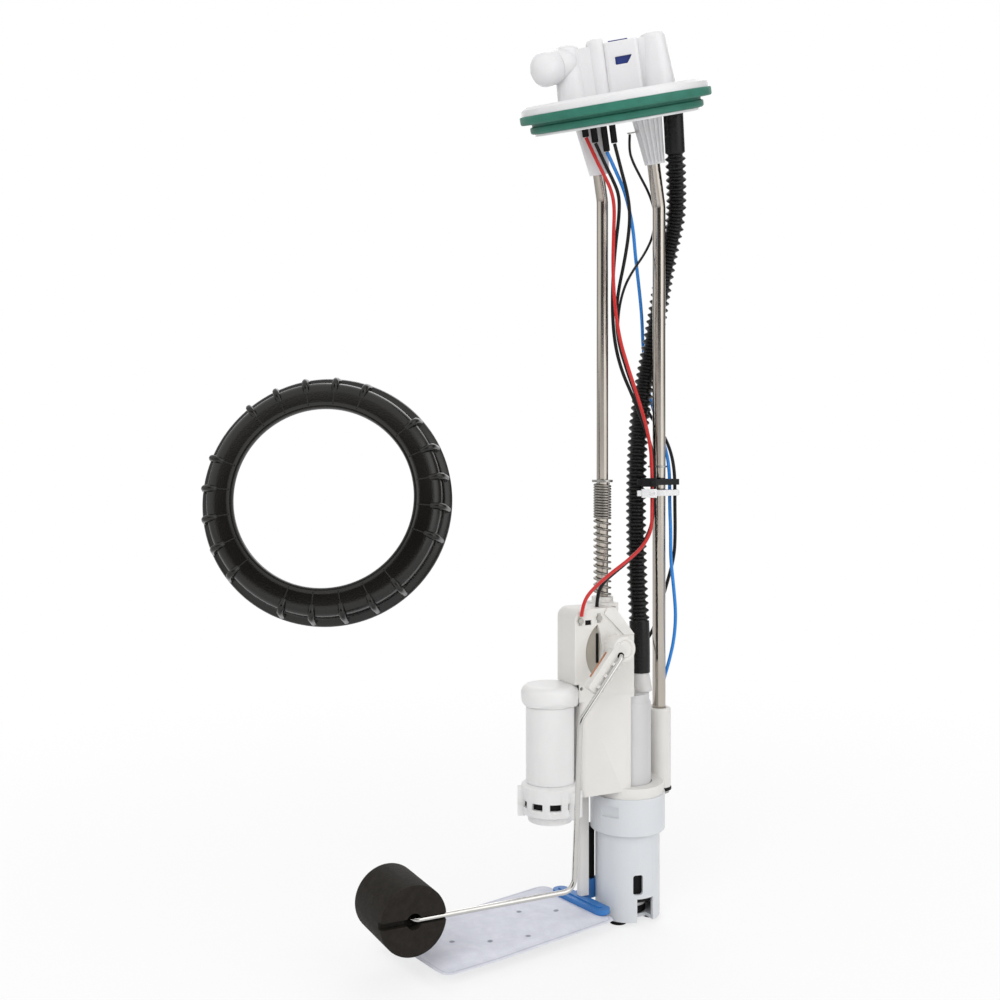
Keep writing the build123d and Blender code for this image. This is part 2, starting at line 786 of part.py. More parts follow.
with BuildPart() as pump_cup:
    with BuildSketch(Plane.XY.offset(cup_end)):
        with Locations(pump_at):
            Circle(cup_r)
    extrude(amount=cup_top - cup_end)
    with BuildSketch(Plane.XY.offset(cup_floor)):
        with Locations(pump_at):
            Circle(cup_r - cup_wall)
    extrude(amount=cup_top - cup_floor, mode=Mode.SUBTRACT)
    with BuildSketch(facing(pump_at, 256, -455.6).offset(cup_r - 2 * cup_wall)):
        RectangleRounded(6.0, 11.6, 1.6)
    extrude(amount=3 * cup_wall, mode=Mode.SUBTRACT)
    with BuildSketch(facing(pump_at, 271, cup_end + 5.8).offset(cup_r - 4 * cup_wall)):
        Rectangle(11.0, 15.6)
    extrude(amount=5 * cup_wall, mode=Mode.SUBTRACT)
save(pump_cup.part, "pump_cup")

with BuildPart() as cup_collar:
    with BuildSketch(Plane.XY.offset(collar_end)):
        with Locations(pump_at):
            Circle(collar_d / 2)
    extrude(amount=collar_top - collar_end)
    chamfer(cup_collar.edges().filter_by(GeomType.CIRCLE).sort_by(Axis.Z)[0], length=0.8)
    with BuildSketch(Plane.XY.offset(collar_end)):
        with Locations(pump_at):
            Circle(cup_r + cup_play)
    extrude(amount=cup_top - collar_end, mode=Mode.SUBTRACT)
    with BuildSketch(Plane.XY.offset(collar_end)):
        with Locations(pump_at):
            Circle(pump_r + 0.6)
    extrude(amount=collar_top - collar_end, mode=Mode.SUBTRACT)
    with BuildSketch(facing(pump_at, 209, -412.8).offset(collar_d / 2 + 1)):
        Rectangle(11.0, 6.4)
    extrude(amount=-2.2, mode=Mode.SUBTRACT)
save(cup_collar.part, "cup_collar")

foot_reach = 13.5
with BuildPart() as cup_feet:
    with BuildSketch(Plane.XY.offset(cup_end)):
        with Locations(*[(pump_at[0] + foot_reach * cos(radians(a)),
                          pump_at[1] + foot_reach * sin(radians(a))) for a in (213, 333, 93)]):
            Circle(foot_d / 2)
    extrude(amount=-foot_t, taper=12)
save(cup_feet.part, "cup_feet")

# Suction tube from the strainer up to the collar
with BuildPart() as suction_tube:
    with BuildSketch(Plane.XY.offset(frame_top + 8.0)):
        with Locations(suction_at):
            Circle(suction_d / 2)
    extrude(amount=collar_end - seam - frame_top - 8.0)
save(suction_tube.part, "suction_tube")

# Strainer: a flat bag under a moulded frame whose neck takes the suction tube
run = Vector(cos(radians(strainer_turn)), sin(radians(strainer_turn)), 0)
corner = Vector(*strainer_corner, 0)
strainer = Plane(origin=corner + Vector(0, 0, strainer_top), x_dir=run, z_dir=(0, 0, -1))
with BuildPart() as strainer_sock:
    with BuildSketch(strainer):
        with Locations((strainer_l / 2, strainer_w / 2)):
            RectangleRounded(strainer_l, strainer_w, 6.0)
    extrude(amount=strainer_t)
    fillet(strainer_sock.edges().group_by(Axis.Z)[0], radius=2.5)
save(strainer_sock.part, "strainer_sock")

suction_local = strainer.to_local_coords(Vector(*suction_at, strainer_top))
trace_w = suction_d + 1.2
with BuildPart() as strainer_frame:
    with BuildSketch(strainer):
        with Locations((3.0, 32.0)):
            RectangleRounded(frame_w, frame_l, 4.0)
        with Locations((suction_local.X / 2 + 1.5, suction_local.Y)):
            Rectangle(abs(suction_local.X) + 3.0, trace_w)
        with Locations((suction_local.X, suction_local.Y)):
            Circle(trace_w / 2)
    extrude(amount=-frame_t)
    with BuildSketch(strainer):
        with Locations((suction_local.X, suction_local.Y)):
            Circle(suction_d / 2 + 0.3)
    extrude(amount=-frame_t - 8.0)
    with BuildSketch(strainer):
        with Locations((4.0, 13.0)):
            Circle(stud_d / 2)
    extrude(amount=-frame_t - 4.5)
    fillet(strainer_frame.faces().sort_by(Axis.Z)[-2].edges(), radius=1.0)
save(strainer_frame.part, "strainer_frame")

# Filter canister: lid, body and a base with windows, a dark seal inside them
can_section = Plane(origin=(*can_at, 0), x_dir=(1, 0, 0), z_dir=(0, -1, 0))
can_axis = Axis((*can_at, 0), (0, 0, 1))
can_r = can_d / 2
lid_r = can_lid_d / 2
base_r = can_base_d / 2
plug_h = 4.0
with BuildPart() as filter_cap:
    with BuildSketch(can_section):
        with BuildLine():
            Polyline((0, can_lid_end - plug_h), (can_r - wall - seam, can_lid_end - plug_h),
                     (can_r - wall - seam, can_lid_end), (lid_r - 1.5, can_lid_end),
                     (lid_r, can_lid_end + 2.5), (lid_r, can_lid_top - 4.5))
            ThreePointArc((lid_r, can_lid_top - 4.5), (lid_r - 1.5, can_lid_top - 1.4),
                          (lid_r - 5.0, can_lid_top))
            Polyline((lid_r - 5.0, can_lid_top), (0, can_lid_top), (0, can_lid_end - plug_h))
        make_face()
    revolve(axis=can_axis)
save(filter_cap.part, "filter_cap")

with BuildPart() as filter_canister:
    with BuildSketch(Plane.XY.offset(can_end)):
        with Locations(can_at):
            Circle(can_r)
            Circle(can_r - wall, mode=Mode.SUBTRACT)
    extrude(amount=can_lid_end - can_end)
save(filter_canister.part, "filter_canister")

with BuildPart() as filter_base:
    with BuildSketch(can_section):
        with BuildLine():
            Polyline((0, can_base_end), (base_r - 4.0, can_base_end),
                     (base_r - 3.2, can_base_end + 4.0),
                     (base_r, can_base_end + 5.0), (base_r, can_end - 1.5), (can_r, can_end),
                     (0, can_end), close=True)
        make_face()
    revolve(axis=can_axis)
    with BuildSketch(Plane.XY.offset(can_base_end + 5.0)):
        with Locations(can_at):
            Circle(base_r - wall)
            Circle(base_r - wall - 2.4, mode=Mode.SUBTRACT)
    extrude(amount=can_end - can_base_end - 9.0, mode=Mode.SUBTRACT)
    for turn in (176, 214, 252, 290):
        with BuildSketch(facing(can_at, turn, can_window_z).offset(base_r - wall - 1.0)):
            Rectangle(6.6, 3.8)
        extrude(amount=2 * wall, mode=Mode.SUBTRACT)
    # Ears on both sides
    for turn in (153, 300):
        with BuildSketch(facing(can_at, turn, can_window_z).offset(base_r - wall)):
            Rectangle(9.0, ear_h)
        extrude(amount=3.2 + wall / 2)
    with BuildSketch(Plane.XY.offset(can_base_end + 5.0)):
        with Locations(can_at):
            Circle(base_r - wall)
            Circle(base_r - wall - 2.4, mode=Mode.SUBTRACT)
    extrude(amount=can_end - can_base_end - 9.0, mode=Mode.SUBTRACT)
save(filter_base.part, "filter_base")

with BuildPart() as filter_seal:
    with BuildSketch(Plane.XY.offset(can_base_end + 5.0)):
        with Locations(can_at):
            Circle(base_r - wall - 0.3)
            Circle(base_r - wall - 2.1, mode=Mode.SUBTRACT)
    extrude(amount=can_end - can_base_end - 9.4)
save(filter_seal.part, "filter_seal")

# Float arm: the pin, the hub with its bar and clips, the wiper, the wire and the float
with BuildPart() as pivot_pin:
    with BuildSketch(front.offset(-wall)):
        with Locations(pivot_at):
            Circle(pin_d / 2)
    extrude(amount=wall + front_y - hub_front - 1.0)
save(pivot_pin.part, "pivot_pin")

arm_angle = degrees(atan2(wire_knee[1] - pivot_z, wire_knee[0] - pivot_x))
along = Vector(cos(radians(arm_angle)), 0, sin(radians(arm_angle)))
arm = Plane(origin=(pivot_x, hub_front, pivot_z), x_dir=along, z_dir=(0, -1, 0))
hub_t = hub_back - hub_front
wire_start = 4.4
bar_y = -4.5
clip_spots = (11.0, 19.0, 26.5)
with BuildPart() as pivot_hub:
    with BuildSketch(arm):
        Circle(hub_d / 2)
    extrude(amount=-hub_t)
    with BuildSketch(arm):
        with Locations((arm_l / 2, bar_y)):
            RectangleRounded(arm_l, arm_w, 1.5)
    extrude(amount=-arm_t)
    with BuildSketch(arm):
        with Locations(*[(x, 0) for x in clip_spots]):
            Rectangle(2.0, wire_d + 1.8)
    extrude(amount=wire_d * 0.75)
    with BuildSketch(arm.offset(-hub_t)):
        Circle(pin_d / 2 + pin_play)
    extrude(amount=hub_t - 0.8, mode=Mode.SUBTRACT)
    with BuildSketch(Plane(origin=arm.from_local_coords(Vector(wire_start, 0, wire_d / 2)),
                           x_dir=(0, 1, 0), z_dir=along)):
        Circle(wire_d / 2 + pin_play)
    extrude(amount=arm_l + 4.0, mode=Mode.SUBTRACT)
    with BuildSketch(arm):
        with Locations((wire_start, 0)):
            Circle(wire_d / 2 + 0.4)
    extrude(amount=-4.0, mode=Mode.SUBTRACT)
save(pivot_hub.part, "pivot_hub")

with BuildPart() as wiper_contact:
    with BuildSketch(arm.offset(-arm_t)):
        with Locations((arm_l / 2 + 2.0, bar_y - (arm_w + wiper_t) / 2)):
            Rectangle(wiper_l, wiper_t)
    extrude(amount=wiper_w)
save(wiper_contact.part, "wiper_contact")

start = arm.from_local_coords(Vector(wire_start, 0, -3.6))
turn_in = arm.from_local_coords(Vector(wire_start, 0, wire_d / 2))
tip = Vector(wire_tip[0], wire_y, wire_tip[1])
with BuildPart() as float_rod:
    with BuildLine() as wire_line:
        FilletPolyline(start, turn_in, (wire_knee[0], wire_y, wire_knee[1]),
                       (wire_heel[0], wire_y, wire_heel[1]), tip, tip + Vector(0, 12, 0),
                       radius=[2.0, wire_bend_r, wire_bend_r, 4.0])
    with BuildSketch(Plane(origin=start, z_dir=turn_in - start)):
        Circle(wire_d / 2)
    sweep()
save(float_rod.part, "float_rod")

float_axis_plane = Plane.XZ.offset(-float_front)
with BuildPart() as float_body:
    with BuildSketch(float_axis_plane):
        with Locations(wire_tip):
            Circle(float_d / 2)
    extrude(amount=-float_l)
    chamfer(float_body.edges().filter_by(GeomType.CIRCLE), length=0.8)
    slot_angle = degrees(atan2(wire_heel[1] - wire_tip[1], wire_heel[0] - wire_tip[0]))
    with BuildSketch(float_axis_plane):
        with Locations(Location((wire_tip[0], wire_tip[1], 0), (0, 0, slot_angle))):
            Rectangle(float_d + 2, wire_d + 0.6)
    extrude(amount=float_front - wire_y - wire_d / 2 - 0.3, mode=Mode.SUBTRACT)
    with BuildSketch(float_axis_plane):
        with Locations(wire_tip):
            Circle(wire_d / 2 + 2.8)
    extrude(amount=-7.0, mode=Mode.SUBTRACT)
    with BuildSketch(float_axis_plane):
        with Locations(wire_tip):
            Circle(wire_d / 2 + pin_play)
    extrude(amount=-15.0, mode=Mode.SUBTRACT)
save(float_body.part, "float")

# Lock ring: a turned shell with a thread bore, and ribs for the wrench in four groups
ring_out = Vector(cos(radians(ring_heading)) * cos(radians(ring_tilt)),
                  sin(radians(ring_heading)) * cos(radians(ring_tilt)), sin(radians(ring_tilt)))
ring_x = Vector(-sin(radians(ring_heading)), cos(radians(ring_heading)), 0)
ring = Plane(origin=ring_at, x_dir=ring_x, z_dir=ring_out)
ring_section = Plane(origin=ring_at, x_dir=ring.x_dir, z_dir=-ring.y_dir)
shoulder_r = ring_shoulder_d / 2
rib_inner_r = ring_hole_d / 2 + 3.1
rib_outer_r = shoulder_r + 1.0
rib_r = (rib_inner_r + rib_outer_r) / 2
rib_l = rib_outer_r - rib_inner_r
with BuildPart() as lock_ring:
    with BuildSketch(ring_section):
        with BuildLine():
            Polyline((ring_thread_d / 2, 0), (ring_d / 2, 0), (ring_d / 2, 3.0),
                     (shoulder_r + 1.0, 5.0), (shoulder_r, ring_h - 3.0),
                     (shoulder_r - 2.5, ring_h - 1.0), (ring_hole_d / 2 + 2.5, ring_h),
                     (ring_hole_d / 2, ring_h - 2.5), (ring_hole_d / 2, ring_h - ring_top_t),
                     (ring_thread_d / 2, ring_h - ring_top_t), close=True)
        make_face()
    revolve(axis=Axis(ring_at, ring_out))
    with BuildSketch(ring.offset(ring_h - 3.0)):
        for group in range(rib_groups):
            for rib in range(ribs_per_group):
                angle = rib_first + 90 * group + rib_pitch * rib
                with Locations(Location((rib_r * cos(radians(angle)), rib_r * sin(radians(angle)), 0),
                                        (0, 0, angle))):
                    Rectangle(rib_l, rib_w)
    extrude(amount=3.0 + rib_h)
save(lock_ring.part, "lock_ring")

# Boots over the leads where they leave the head
with BuildPart() as wire_boots:
    for x, end in boot_ends.values():
        with BuildSketch(head.offset(roof)):
            with Locations((x, boot_y)):
                Circle(boot_d / 2)
        extrude(amount=end - roof)
save(wire_boots.part, "wire_boots")


lead_gap = 0.35


def boot_exit(lead):
    """Where a lead leaves its boot, just under the boot's end."""
    return on_head(boot_ends[lead][0], boot_y, boot_ends[lead][1] - lead_gap)


def through_ties(lead):
    """The straight run of a lead inside both ties."""
    return [(*tied[lead], z) for z in tie_run]


# Routes of the hose and the leads, from the head down
hose_route = [on_head(*hose_at, -3.0), (39.5, -5, -20), (46, 3, -38), (51, 10, -56), (50.5, 17, -75),
              (47.5, 20.5, -98), (43.5, 22, -125), (37.5, 23, -152), (30, 19.5, -180),
              (25, 15, -206), (22, 11.5, -232), (20, 8, -259), (18.5, 4.5, -286),
              (*pump_neck_at, -312), (*pump_neck_at, pump_top + pump_neck_h)]
red_route = [boot_exit("red"), (-16, -3, -29.5), (-10, -3, -39), (-4.5, -2, -46.5), (-1, -0.5, -56),
             (-0.5, 1.5, -73), (-1, 1.5, -94), (0, 1, -114.5), (3, 0.5, -134.5), (9.5, 2, -150),
             (17, 3.5, -166.5), (23.5, 4, -183), (27.5, 4, -198), *through_ties("red"),
             (23.5, -3.5, -249.5), (13.5, -8.5, -259), (1, -10, -267), (-12, -11.5, -274),
             (-23, -14.5, -280), (-30.3, -16.8, -285), (-33.2, -17, -291.5), (-33.5, -16.6, -296.2)]
black_sender_route = [boot_exit("black_sender"), (-10, -3.5, -32), (-3.5, -2.5, -41), (2, -1, -49.5),
                      (3.5, 1.5, -61), (2.5, 4, -78), (1.5, 5.5, -99), (1.5, 6, -120), (4, 7, -138),
                      (10, 8.5, -154), (18, 8.5, -169), (25.5, 8.5, -185), (30.5, 7, -199.5),
                      *through_ties("black_sender"), (27, 2.5, -249), (17.5, -1, -260),
                      (7, -3, -267.5), (-4, -5.2, -273.5), (-13, -7.2, -278.5), (-17.6, -8, -285),
                      (-18, -8, carrier_top)]
blue_route = [boot_exit("blue"), (-2.5, -4.5, -36.5), (4.5, -2.5, -46.5), (10, 1, -55.5),
              (15.5, 4.5, -68), (23, 13.5, -82.5), (31, 21.5, -100.5), (37.5, 28, -118),
              (42.5, 34.5, -136), (44, 32.5, -158), (44.5, 24.5, -179), (45, 14.5, -197),
              *through_ties("blue"), (44, 6, -252), (43.5, 5.5, -268), (45.5, 5, -286),
              (46.5, 4, -303), (46, 5.5, -319), (45, 10, -334), (44, 15, -347),
              (44, 17.8, web_top + lead_gap)]
black_pump_route = [boot_exit("black_pump"), (-0.5, -7, -36), (3.5, -7, -48), (7, -5, -59.5),
                    (8, -2, -72.5), (8.5, 3.5, -88), (8, 9.5, -104.5), (10, 15, -118),
                    (15.5, 21.5, -134), (25.5, 28, -150), (37, 32.5, -165.5), (46.5, 30.5, -181),
                    (51.5, 20.5, -195), *through_ties("black_pump"), (47, 5.5, -251),
                    (48.5, 8.5, -267), (47.5, 15, -284.5), (45.5, 20, -300), (41, 19.5, -312.5),
                    (33.5, 17.5, -320), (25.5, 14.5, -326.5), (17, 12.2, -332.5),
                    (*pump_contact_at[0], pump_top + pump_contact_h + lead_gap)]
earth_route = [on_head(right_foot.X - 12.2, 8.8, -13.8 - lead_gap), (13.7, 6.6, -19),
               (17, 7.5, -26), (24, 10, -33.5), (35, 16.5, -41.5), (43.5, 22, -52),
               (43.5, 24, -66), (32.5, 17.5, -79.5), (18.5, 8.5, -91), (8, 3, -103),
               (4.8, 4.2, -117), (6.5, 8, -132), (12.5, 10, -149), (21, 11, -167),
               (28.5, 10.5, -184), (32.4, 10.6, -199), (32.4, 10.7, -210.9)]
cord(hose_route, hose_d, "fuel_hose", hose_bore_d)
cord(red_route, lead_d, "wire_red")
cord(black_sender_route, lead_d, "wire_black_sender")
cord(blue_route, lead_d, "wire_blue")
cord(black_pump_route, lead_d, "wire_black_pump")
cord(earth_route, earth_lead_d, "wire_earth")

# Earth clip: a ring on the right rod with a tab for the thin lead
with BuildPart() as earth_clip:
    with BuildSketch(Plane.XY.offset(-212.0)):
        with Locations(right_rod_at):
            Circle(right_rod_d / 2 + 0.9)
        with Locations((33.5, right_rod_at[1])):
            Rectangle(4.6, 3.0)
        with Locations(right_rod_at):
            Circle(right_rod_d / 2, mode=Mode.SUBTRACT)
    extrude(amount=1.1)
save(earth_clip.part, "earth_clip")

# Nipple under the head for the hose, in line with the hose's first run
hose_out = (Vector(*hose_route[1]) - Vector(*hose_route[0])).normalized()
nipple = Plane(origin=hose_route[0], z_dir=hose_out)
with BuildPart() as head_nipple:
    with BuildSketch(nipple.offset(-10.0)):
        Circle(hose_bore_d / 2 - hose_play)
        Circle(2.6, mode=Mode.SUBTRACT)
    extrude(amount=22.0)
    with BuildSketch(nipple.offset(-10.0)):
        Circle(hose_d / 2 - 0.4)
        Circle(2.6, mode=Mode.SUBTRACT)
    extrude(amount=9.8)
    add(flange_head.part, mode=Mode.SUBTRACT)
save(head_nipple.part.solids().sort_by(Axis.Z)[0], "head_nipple")

# Cable ties: a band round the rod and the leads, with its head in front
for name, top in (("cable_tie_black", black_tie_z), ("cable_tie_white", white_tie_z)):
    with BuildPart() as tie:
        for grow, mode in ((tie_band, Mode.ADD), (0.0, Mode.SUBTRACT)):
            with BuildSketch(Plane.XY.offset(top)):
                with Locations(right_rod_at):
                    Circle(right_rod_d / 2 + tie_play + grow)
                with Locations(*tied.values()):
                    Circle(lead_d / 2 + tie_play + grow)
                make_hull()
            extrude(amount=-tie_w, mode=mode)
            if mode == Mode.ADD:
                with BuildSketch(Plane.XY.offset(top + 0.8)):
                    with Locations(Location((26.2, -0.2, 0), (0, 0, -27))):
                        Rectangle(8.0, 4.2)
                extrude(amount=-tie_w - 1.6)
    save(tie.part, name)
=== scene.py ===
"""Looks of a fuel pump module: finishes, hose, leads, strainer, spring, float arm and lock ring."""
import logging
import math
from dataclasses import dataclass, field
from enum import Enum

import bmesh
import bpy
from mathutils import Matrix, Vector
from mathutils.geometry import convex_hull_2d


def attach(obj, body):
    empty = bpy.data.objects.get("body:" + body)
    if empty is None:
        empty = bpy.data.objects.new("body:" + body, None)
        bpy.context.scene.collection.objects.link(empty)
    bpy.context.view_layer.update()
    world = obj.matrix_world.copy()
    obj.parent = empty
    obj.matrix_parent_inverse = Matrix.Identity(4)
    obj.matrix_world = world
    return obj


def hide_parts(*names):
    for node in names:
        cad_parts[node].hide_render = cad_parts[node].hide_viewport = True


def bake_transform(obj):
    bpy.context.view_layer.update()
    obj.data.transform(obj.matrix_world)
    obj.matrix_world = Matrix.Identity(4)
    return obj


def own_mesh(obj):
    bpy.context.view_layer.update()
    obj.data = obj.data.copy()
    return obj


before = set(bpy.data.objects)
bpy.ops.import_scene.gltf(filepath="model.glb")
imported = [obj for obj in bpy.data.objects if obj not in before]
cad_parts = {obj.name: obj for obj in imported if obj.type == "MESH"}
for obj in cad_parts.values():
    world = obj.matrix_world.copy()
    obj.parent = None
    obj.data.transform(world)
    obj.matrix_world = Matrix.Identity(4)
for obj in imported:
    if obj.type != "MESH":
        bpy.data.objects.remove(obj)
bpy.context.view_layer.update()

LOG = logging.getLogger("fuel_pump_module")
MM = 0.001
Point = tuple[float, float, float]


class Body(str, Enum):
    """The rigid bodies that pieces ride on."""

    FLANGE = "flange"
    CAP = "port_cap"
    CARRIER = "carrier"
    ARM = "float_arm"
    RING = "lock_ring"


class Stiffness(str, Enum):
    """How much a cord gives when it bends."""

    LIMP = "limp"
    STIFF = "stiff"


# Node tools


class Canvas:
    """Adds, feeds and joins nodes in one node tree."""

    def __init__(self, tree: bpy.types.NodeTree) -> None:
        """Keep the tree.

        Args:
            tree: The material's, world's or group's node tree.
        """
        self.tree = tree

    def feed(self, socket: bpy.types.NodeSocket, value: object) -> None:
        """Join an output to an input or set the input's value; None leaves it as it is."""
        if isinstance(value, bpy.types.NodeSocket):
            self.tree.links.new(value, socket)
        elif value is not None:
            socket.default_value = value

    def add(self, kind: str, *feeds: object, **settings: object) -> bpy.types.Node:
        """Add a node and feed its inputs.

        Args:
            kind: The node's type name; a shader or maths node's goes without its prefix.
            feeds: Sockets or values for its shown inputs, in order; None skips one.
            settings: Its properties; other names feed the inputs that they name.

        Returns:
            The new node.
        """
        own = kind if kind.startswith("GeometryNode") else "ShaderNode" + kind
        node = self.tree.nodes.new(own)
        for name, value in settings.items():
            if hasattr(node, name):
                setattr(node, name, value)
            else:
                self.feed(node.inputs[name.replace("_", " ")], value)
        for socket, value in zip([s for s in node.inputs if s.enabled], feeds):
            self.feed(socket, value)
        return node

    def maths(self, operation: str, *feeds: object, **settings: object) -> bpy.types.NodeSocket:
        """A Math node's output."""
        return self.add("Math", *feeds, operation=operation, **settings).outputs[0]

    def mixed(self, kind: str, *feeds: object) -> bpy.types.NodeSocket:
        """A Mix node's output, from a factor and two values of one kind."""
        node = self.add("Mix", *feeds, data_type=kind)
        return next(out for out in node.outputs if out.enabled)


def shader_group(name: str, inputs: dict[str, tuple[str, object]],
                 outputs: dict[str, str]) -> tuple[Canvas, bpy.types.Node, bpy.types.Node]:
    """Start a shader node group with named sockets.

    Args:
        name: The group's name.
        inputs: Socket type and default value by input name.
        outputs: Socket type by output name.

    Returns:
        The canvas, the group's input node and its output node.
    """
    tree = bpy.data.node_groups.new(name, "ShaderNodeTree")
    for label, (kind, value) in inputs.items():
        socket = tree.interface.new_socket(label, in_out="INPUT", socket_type=kind)
        if value is not None:
            socket.default_value = value
    for label, kind in outputs.items():
        tree.interface.new_socket(label, in_out="OUTPUT", socket_type=kind)
    canvas = Canvas(tree)
    return canvas, tree.nodes.new("NodeGroupInput"), tree.nodes.new("NodeGroupOutput")


def tint_group() -> bpy.types.NodeTree:
    """Colour that drifts a little over a surface, with small darker specks.

    Returns:
        The node group.
    """
    canvas, given, result = shader_group(
        "SurfaceTint",
        {"Vector": ("NodeSocketVector", None), "Colour": ("NodeSocketColor", (1, 1, 1, 1)),
         "Shade": ("NodeSocketColor", (0.5, 0.5, 0.5, 1)), "Scale": ("NodeSocketFloat", 60.0),
         "Amount": ("NodeSocketFloat", 0.3), "Specks": ("NodeSocketFloat", 0.1)},
        {"Colour": "NodeSocketColor"})
    source = given.outputs
    drift = canvas.add("TexNoise", Vector=source["Vector"], Scale=source["Scale"], Detail=4.0,
                       Roughness=0.6)
    fine = canvas.add("TexNoise", Vector=source["Vector"], Detail=2.0,
                      Scale=canvas.maths("MULTIPLY", source["Scale"], 9.0))
    spot = canvas.add("MapRange", fine.outputs["Fac"], From_Min=0.62, From_Max=0.78)
    spread = canvas.add("MapRange", drift.outputs["Fac"], From_Min=0.35, From_Max=0.7)
    patch = canvas.maths("MULTIPLY", spread.outputs["Result"], source["Amount"])
    dots = canvas.maths("MULTIPLY_ADD", spot.outputs["Result"], source["Specks"], patch,
                        use_clamp=True)
    canvas.feed(result.inputs["Colour"],
                canvas.mixed("RGBA", dots, source["Colour"], source["Shade"]))
    return canvas.tree


def grain_group() -> bpy.types.NodeTree:
    """Fine moulded grain as a height, with a roughness that follows it.

    Returns:
        The node group.
    """
    canvas, given, result = shader_group(
        "MouldGrain",
        {"Vector": ("NodeSocketVector", None), "Scale": ("NodeSocketFloat", 900.0),
         "Roughness": ("NodeSocketFloat", 0.4), "Spread": ("NodeSocketFloat", 0.08)},
        {"Height": "NodeSocketFloat", "Roughness": "NodeSocketFloat"})
    source = given.outputs
    fine = canvas.add("TexNoise", Vector=source["Vector"], Scale=source["Scale"], Detail=3.0,
                      Roughness=0.55)
    centred = canvas.maths("SUBTRACT", fine.outputs["Fac"], 0.5)
    rough = canvas.maths("MULTIPLY_ADD", centred, source["Spread"], source["Roughness"],
                         use_clamp=True)
    canvas.feed(result.inputs["Height"], fine.outputs["Fac"])
    canvas.feed(result.inputs["Roughness"], rough)
    return canvas.tree


def draw_line_group() -> bpy.types.NodeTree:
    """Fine lines along one axis, as drawn or turned metal shows.

    Returns:
        The node group.
    """
    canvas, given, result = shader_group(
        "DrawnLines",
        {"Vector": ("NodeSocketVector", None), "Stretch": ("NodeSocketVector", (1, 1, 0.02)),
         "Scale": ("NodeSocketFloat", 2500.0)},
        {"Height": "NodeSocketFloat"})
    source = given.outputs
    scaled = canvas.add("VectorMath", source["Vector"], source["Stretch"], operation="MULTIPLY")
    lines = canvas.add("TexNoise", Vector=scaled.outputs[0], Scale=source["Scale"], Detail=3.0,
                       Roughness=0.6)
    canvas.feed(result.inputs["Height"], lines.outputs["Fac"])
    return canvas.tree


GROUPS: dict[str, bpy.types.NodeTree] = {
    "tint": tint_group(), "grain": grain_group(), "lines": draw_line_group()}
BUMP_REACH = 0.0003
MILK_REACH = 0.003
MILK_RADIUS = (1.0, 0.95, 0.85)


def rgba(colour: Point) -> tuple[float, float, float, float]:
    """The colour with full alpha."""
    return (*colour, 1.0)


def place_group(canvas: Canvas, key: str, where: bpy.types.NodeSocket,
                **values: object) -> bpy.types.Node:
    """Put a shared group in a material.

    Args:
        canvas: The material's canvas.
        key: The group's key in GROUPS.
        where: The vector output that the group reads.
        values: The group's own input values.

    Returns:
        The group node.
    """
    return canvas.add("Group", node_tree=GROUPS[key], Vector=where, **values)


@dataclass(frozen=True)
class Finish:
    """What every finish shares: its name, colour and how it answers light."""

    name: str
    colour: Point
    shade: Point
    roughness: float = 0.38
    metallic: float = 0.0
    specular: float = 0.5
    tint_scale: float = 60.0
    tint_amount: float = 0.35
    specks: float = 0.08
    grain_scale: float = 1400.0
    grain_depth: float = 0.03
    spread: float = 0.1
    milky: float = 0.0
    coat: float = 0.0

    def height(self, canvas: Canvas, where: bpy.types.NodeSocket,
               grain: bpy.types.Node) -> bpy.types.NodeSocket:
        """The height that the bump follows; finishes with more relief override it."""
        return grain.outputs["Height"]

    def pigment(self, canvas: Canvas, tint: bpy.types.Node) -> bpy.types.NodeSocket:
        """The colour of the surface; finishes with marks override it."""
        return tint.outputs["Colour"]

    def material(self) -> bpy.types.Material:
        """Build the finish once, and give the same material each time.

        Returns:
            The material.
        """
        if self.name in bpy.data.materials:
            return bpy.data.materials[self.name]
        made = bpy.data.materials.new(self.name)
        made.use_nodes = True
        made.diffuse_color = rgba(self.colour)
        canvas = Canvas(made.node_tree)
        shader = made.node_tree.nodes["Principled BSDF"]
        where = canvas.add("TexCoord").outputs["Object"]
        tint = place_group(canvas, "tint", where, Colour=rgba(self.colour), Shade=rgba(self.shade),
                           Scale=self.tint_scale, Amount=self.tint_amount, Specks=self.specks)
        grain = place_group(canvas, "grain", where, Scale=self.grain_scale,
                            Roughness=self.roughness, Spread=self.spread)
        bump = canvas.add("Bump", Strength=min(1.0, self.grain_depth * 10), Distance=BUMP_REACH,
                          Height=self.height(canvas, where, grain))
        answers = {"Base Color": self.pigment(canvas, tint), "Roughness": grain.outputs["Roughness"],
                   "Normal": bump.outputs["Normal"], "Metallic": self.metallic,
                   "Specular IOR Level": self.specular, "Coat Weight": self.coat}
        if self.milky:
            answers |= {"Subsurface Weight": self.milky, "Subsurface Radius": MILK_RADIUS,
                        "Subsurface Scale": MILK_REACH}
        for name, value in answers.items():
            canvas.feed(shader.inputs[name], value)
        return made


@dataclass(frozen=True)
class DrawnMetal(Finish):
    """Metal with fine lines along an axis."""

    metallic: float = 1.0
    stretch: Point = (1.0, 1.0, 0.02)

    def height(self, canvas: Canvas, where: bpy.types.NodeSocket,
               grain: bpy.types.Node) -> bpy.types.NodeSocket:
        """Lines in place of grain."""
        lines = place_group(canvas, "lines", where, Stretch=self.stretch, Scale=self.grain_scale)
        return lines.outputs["Height"]


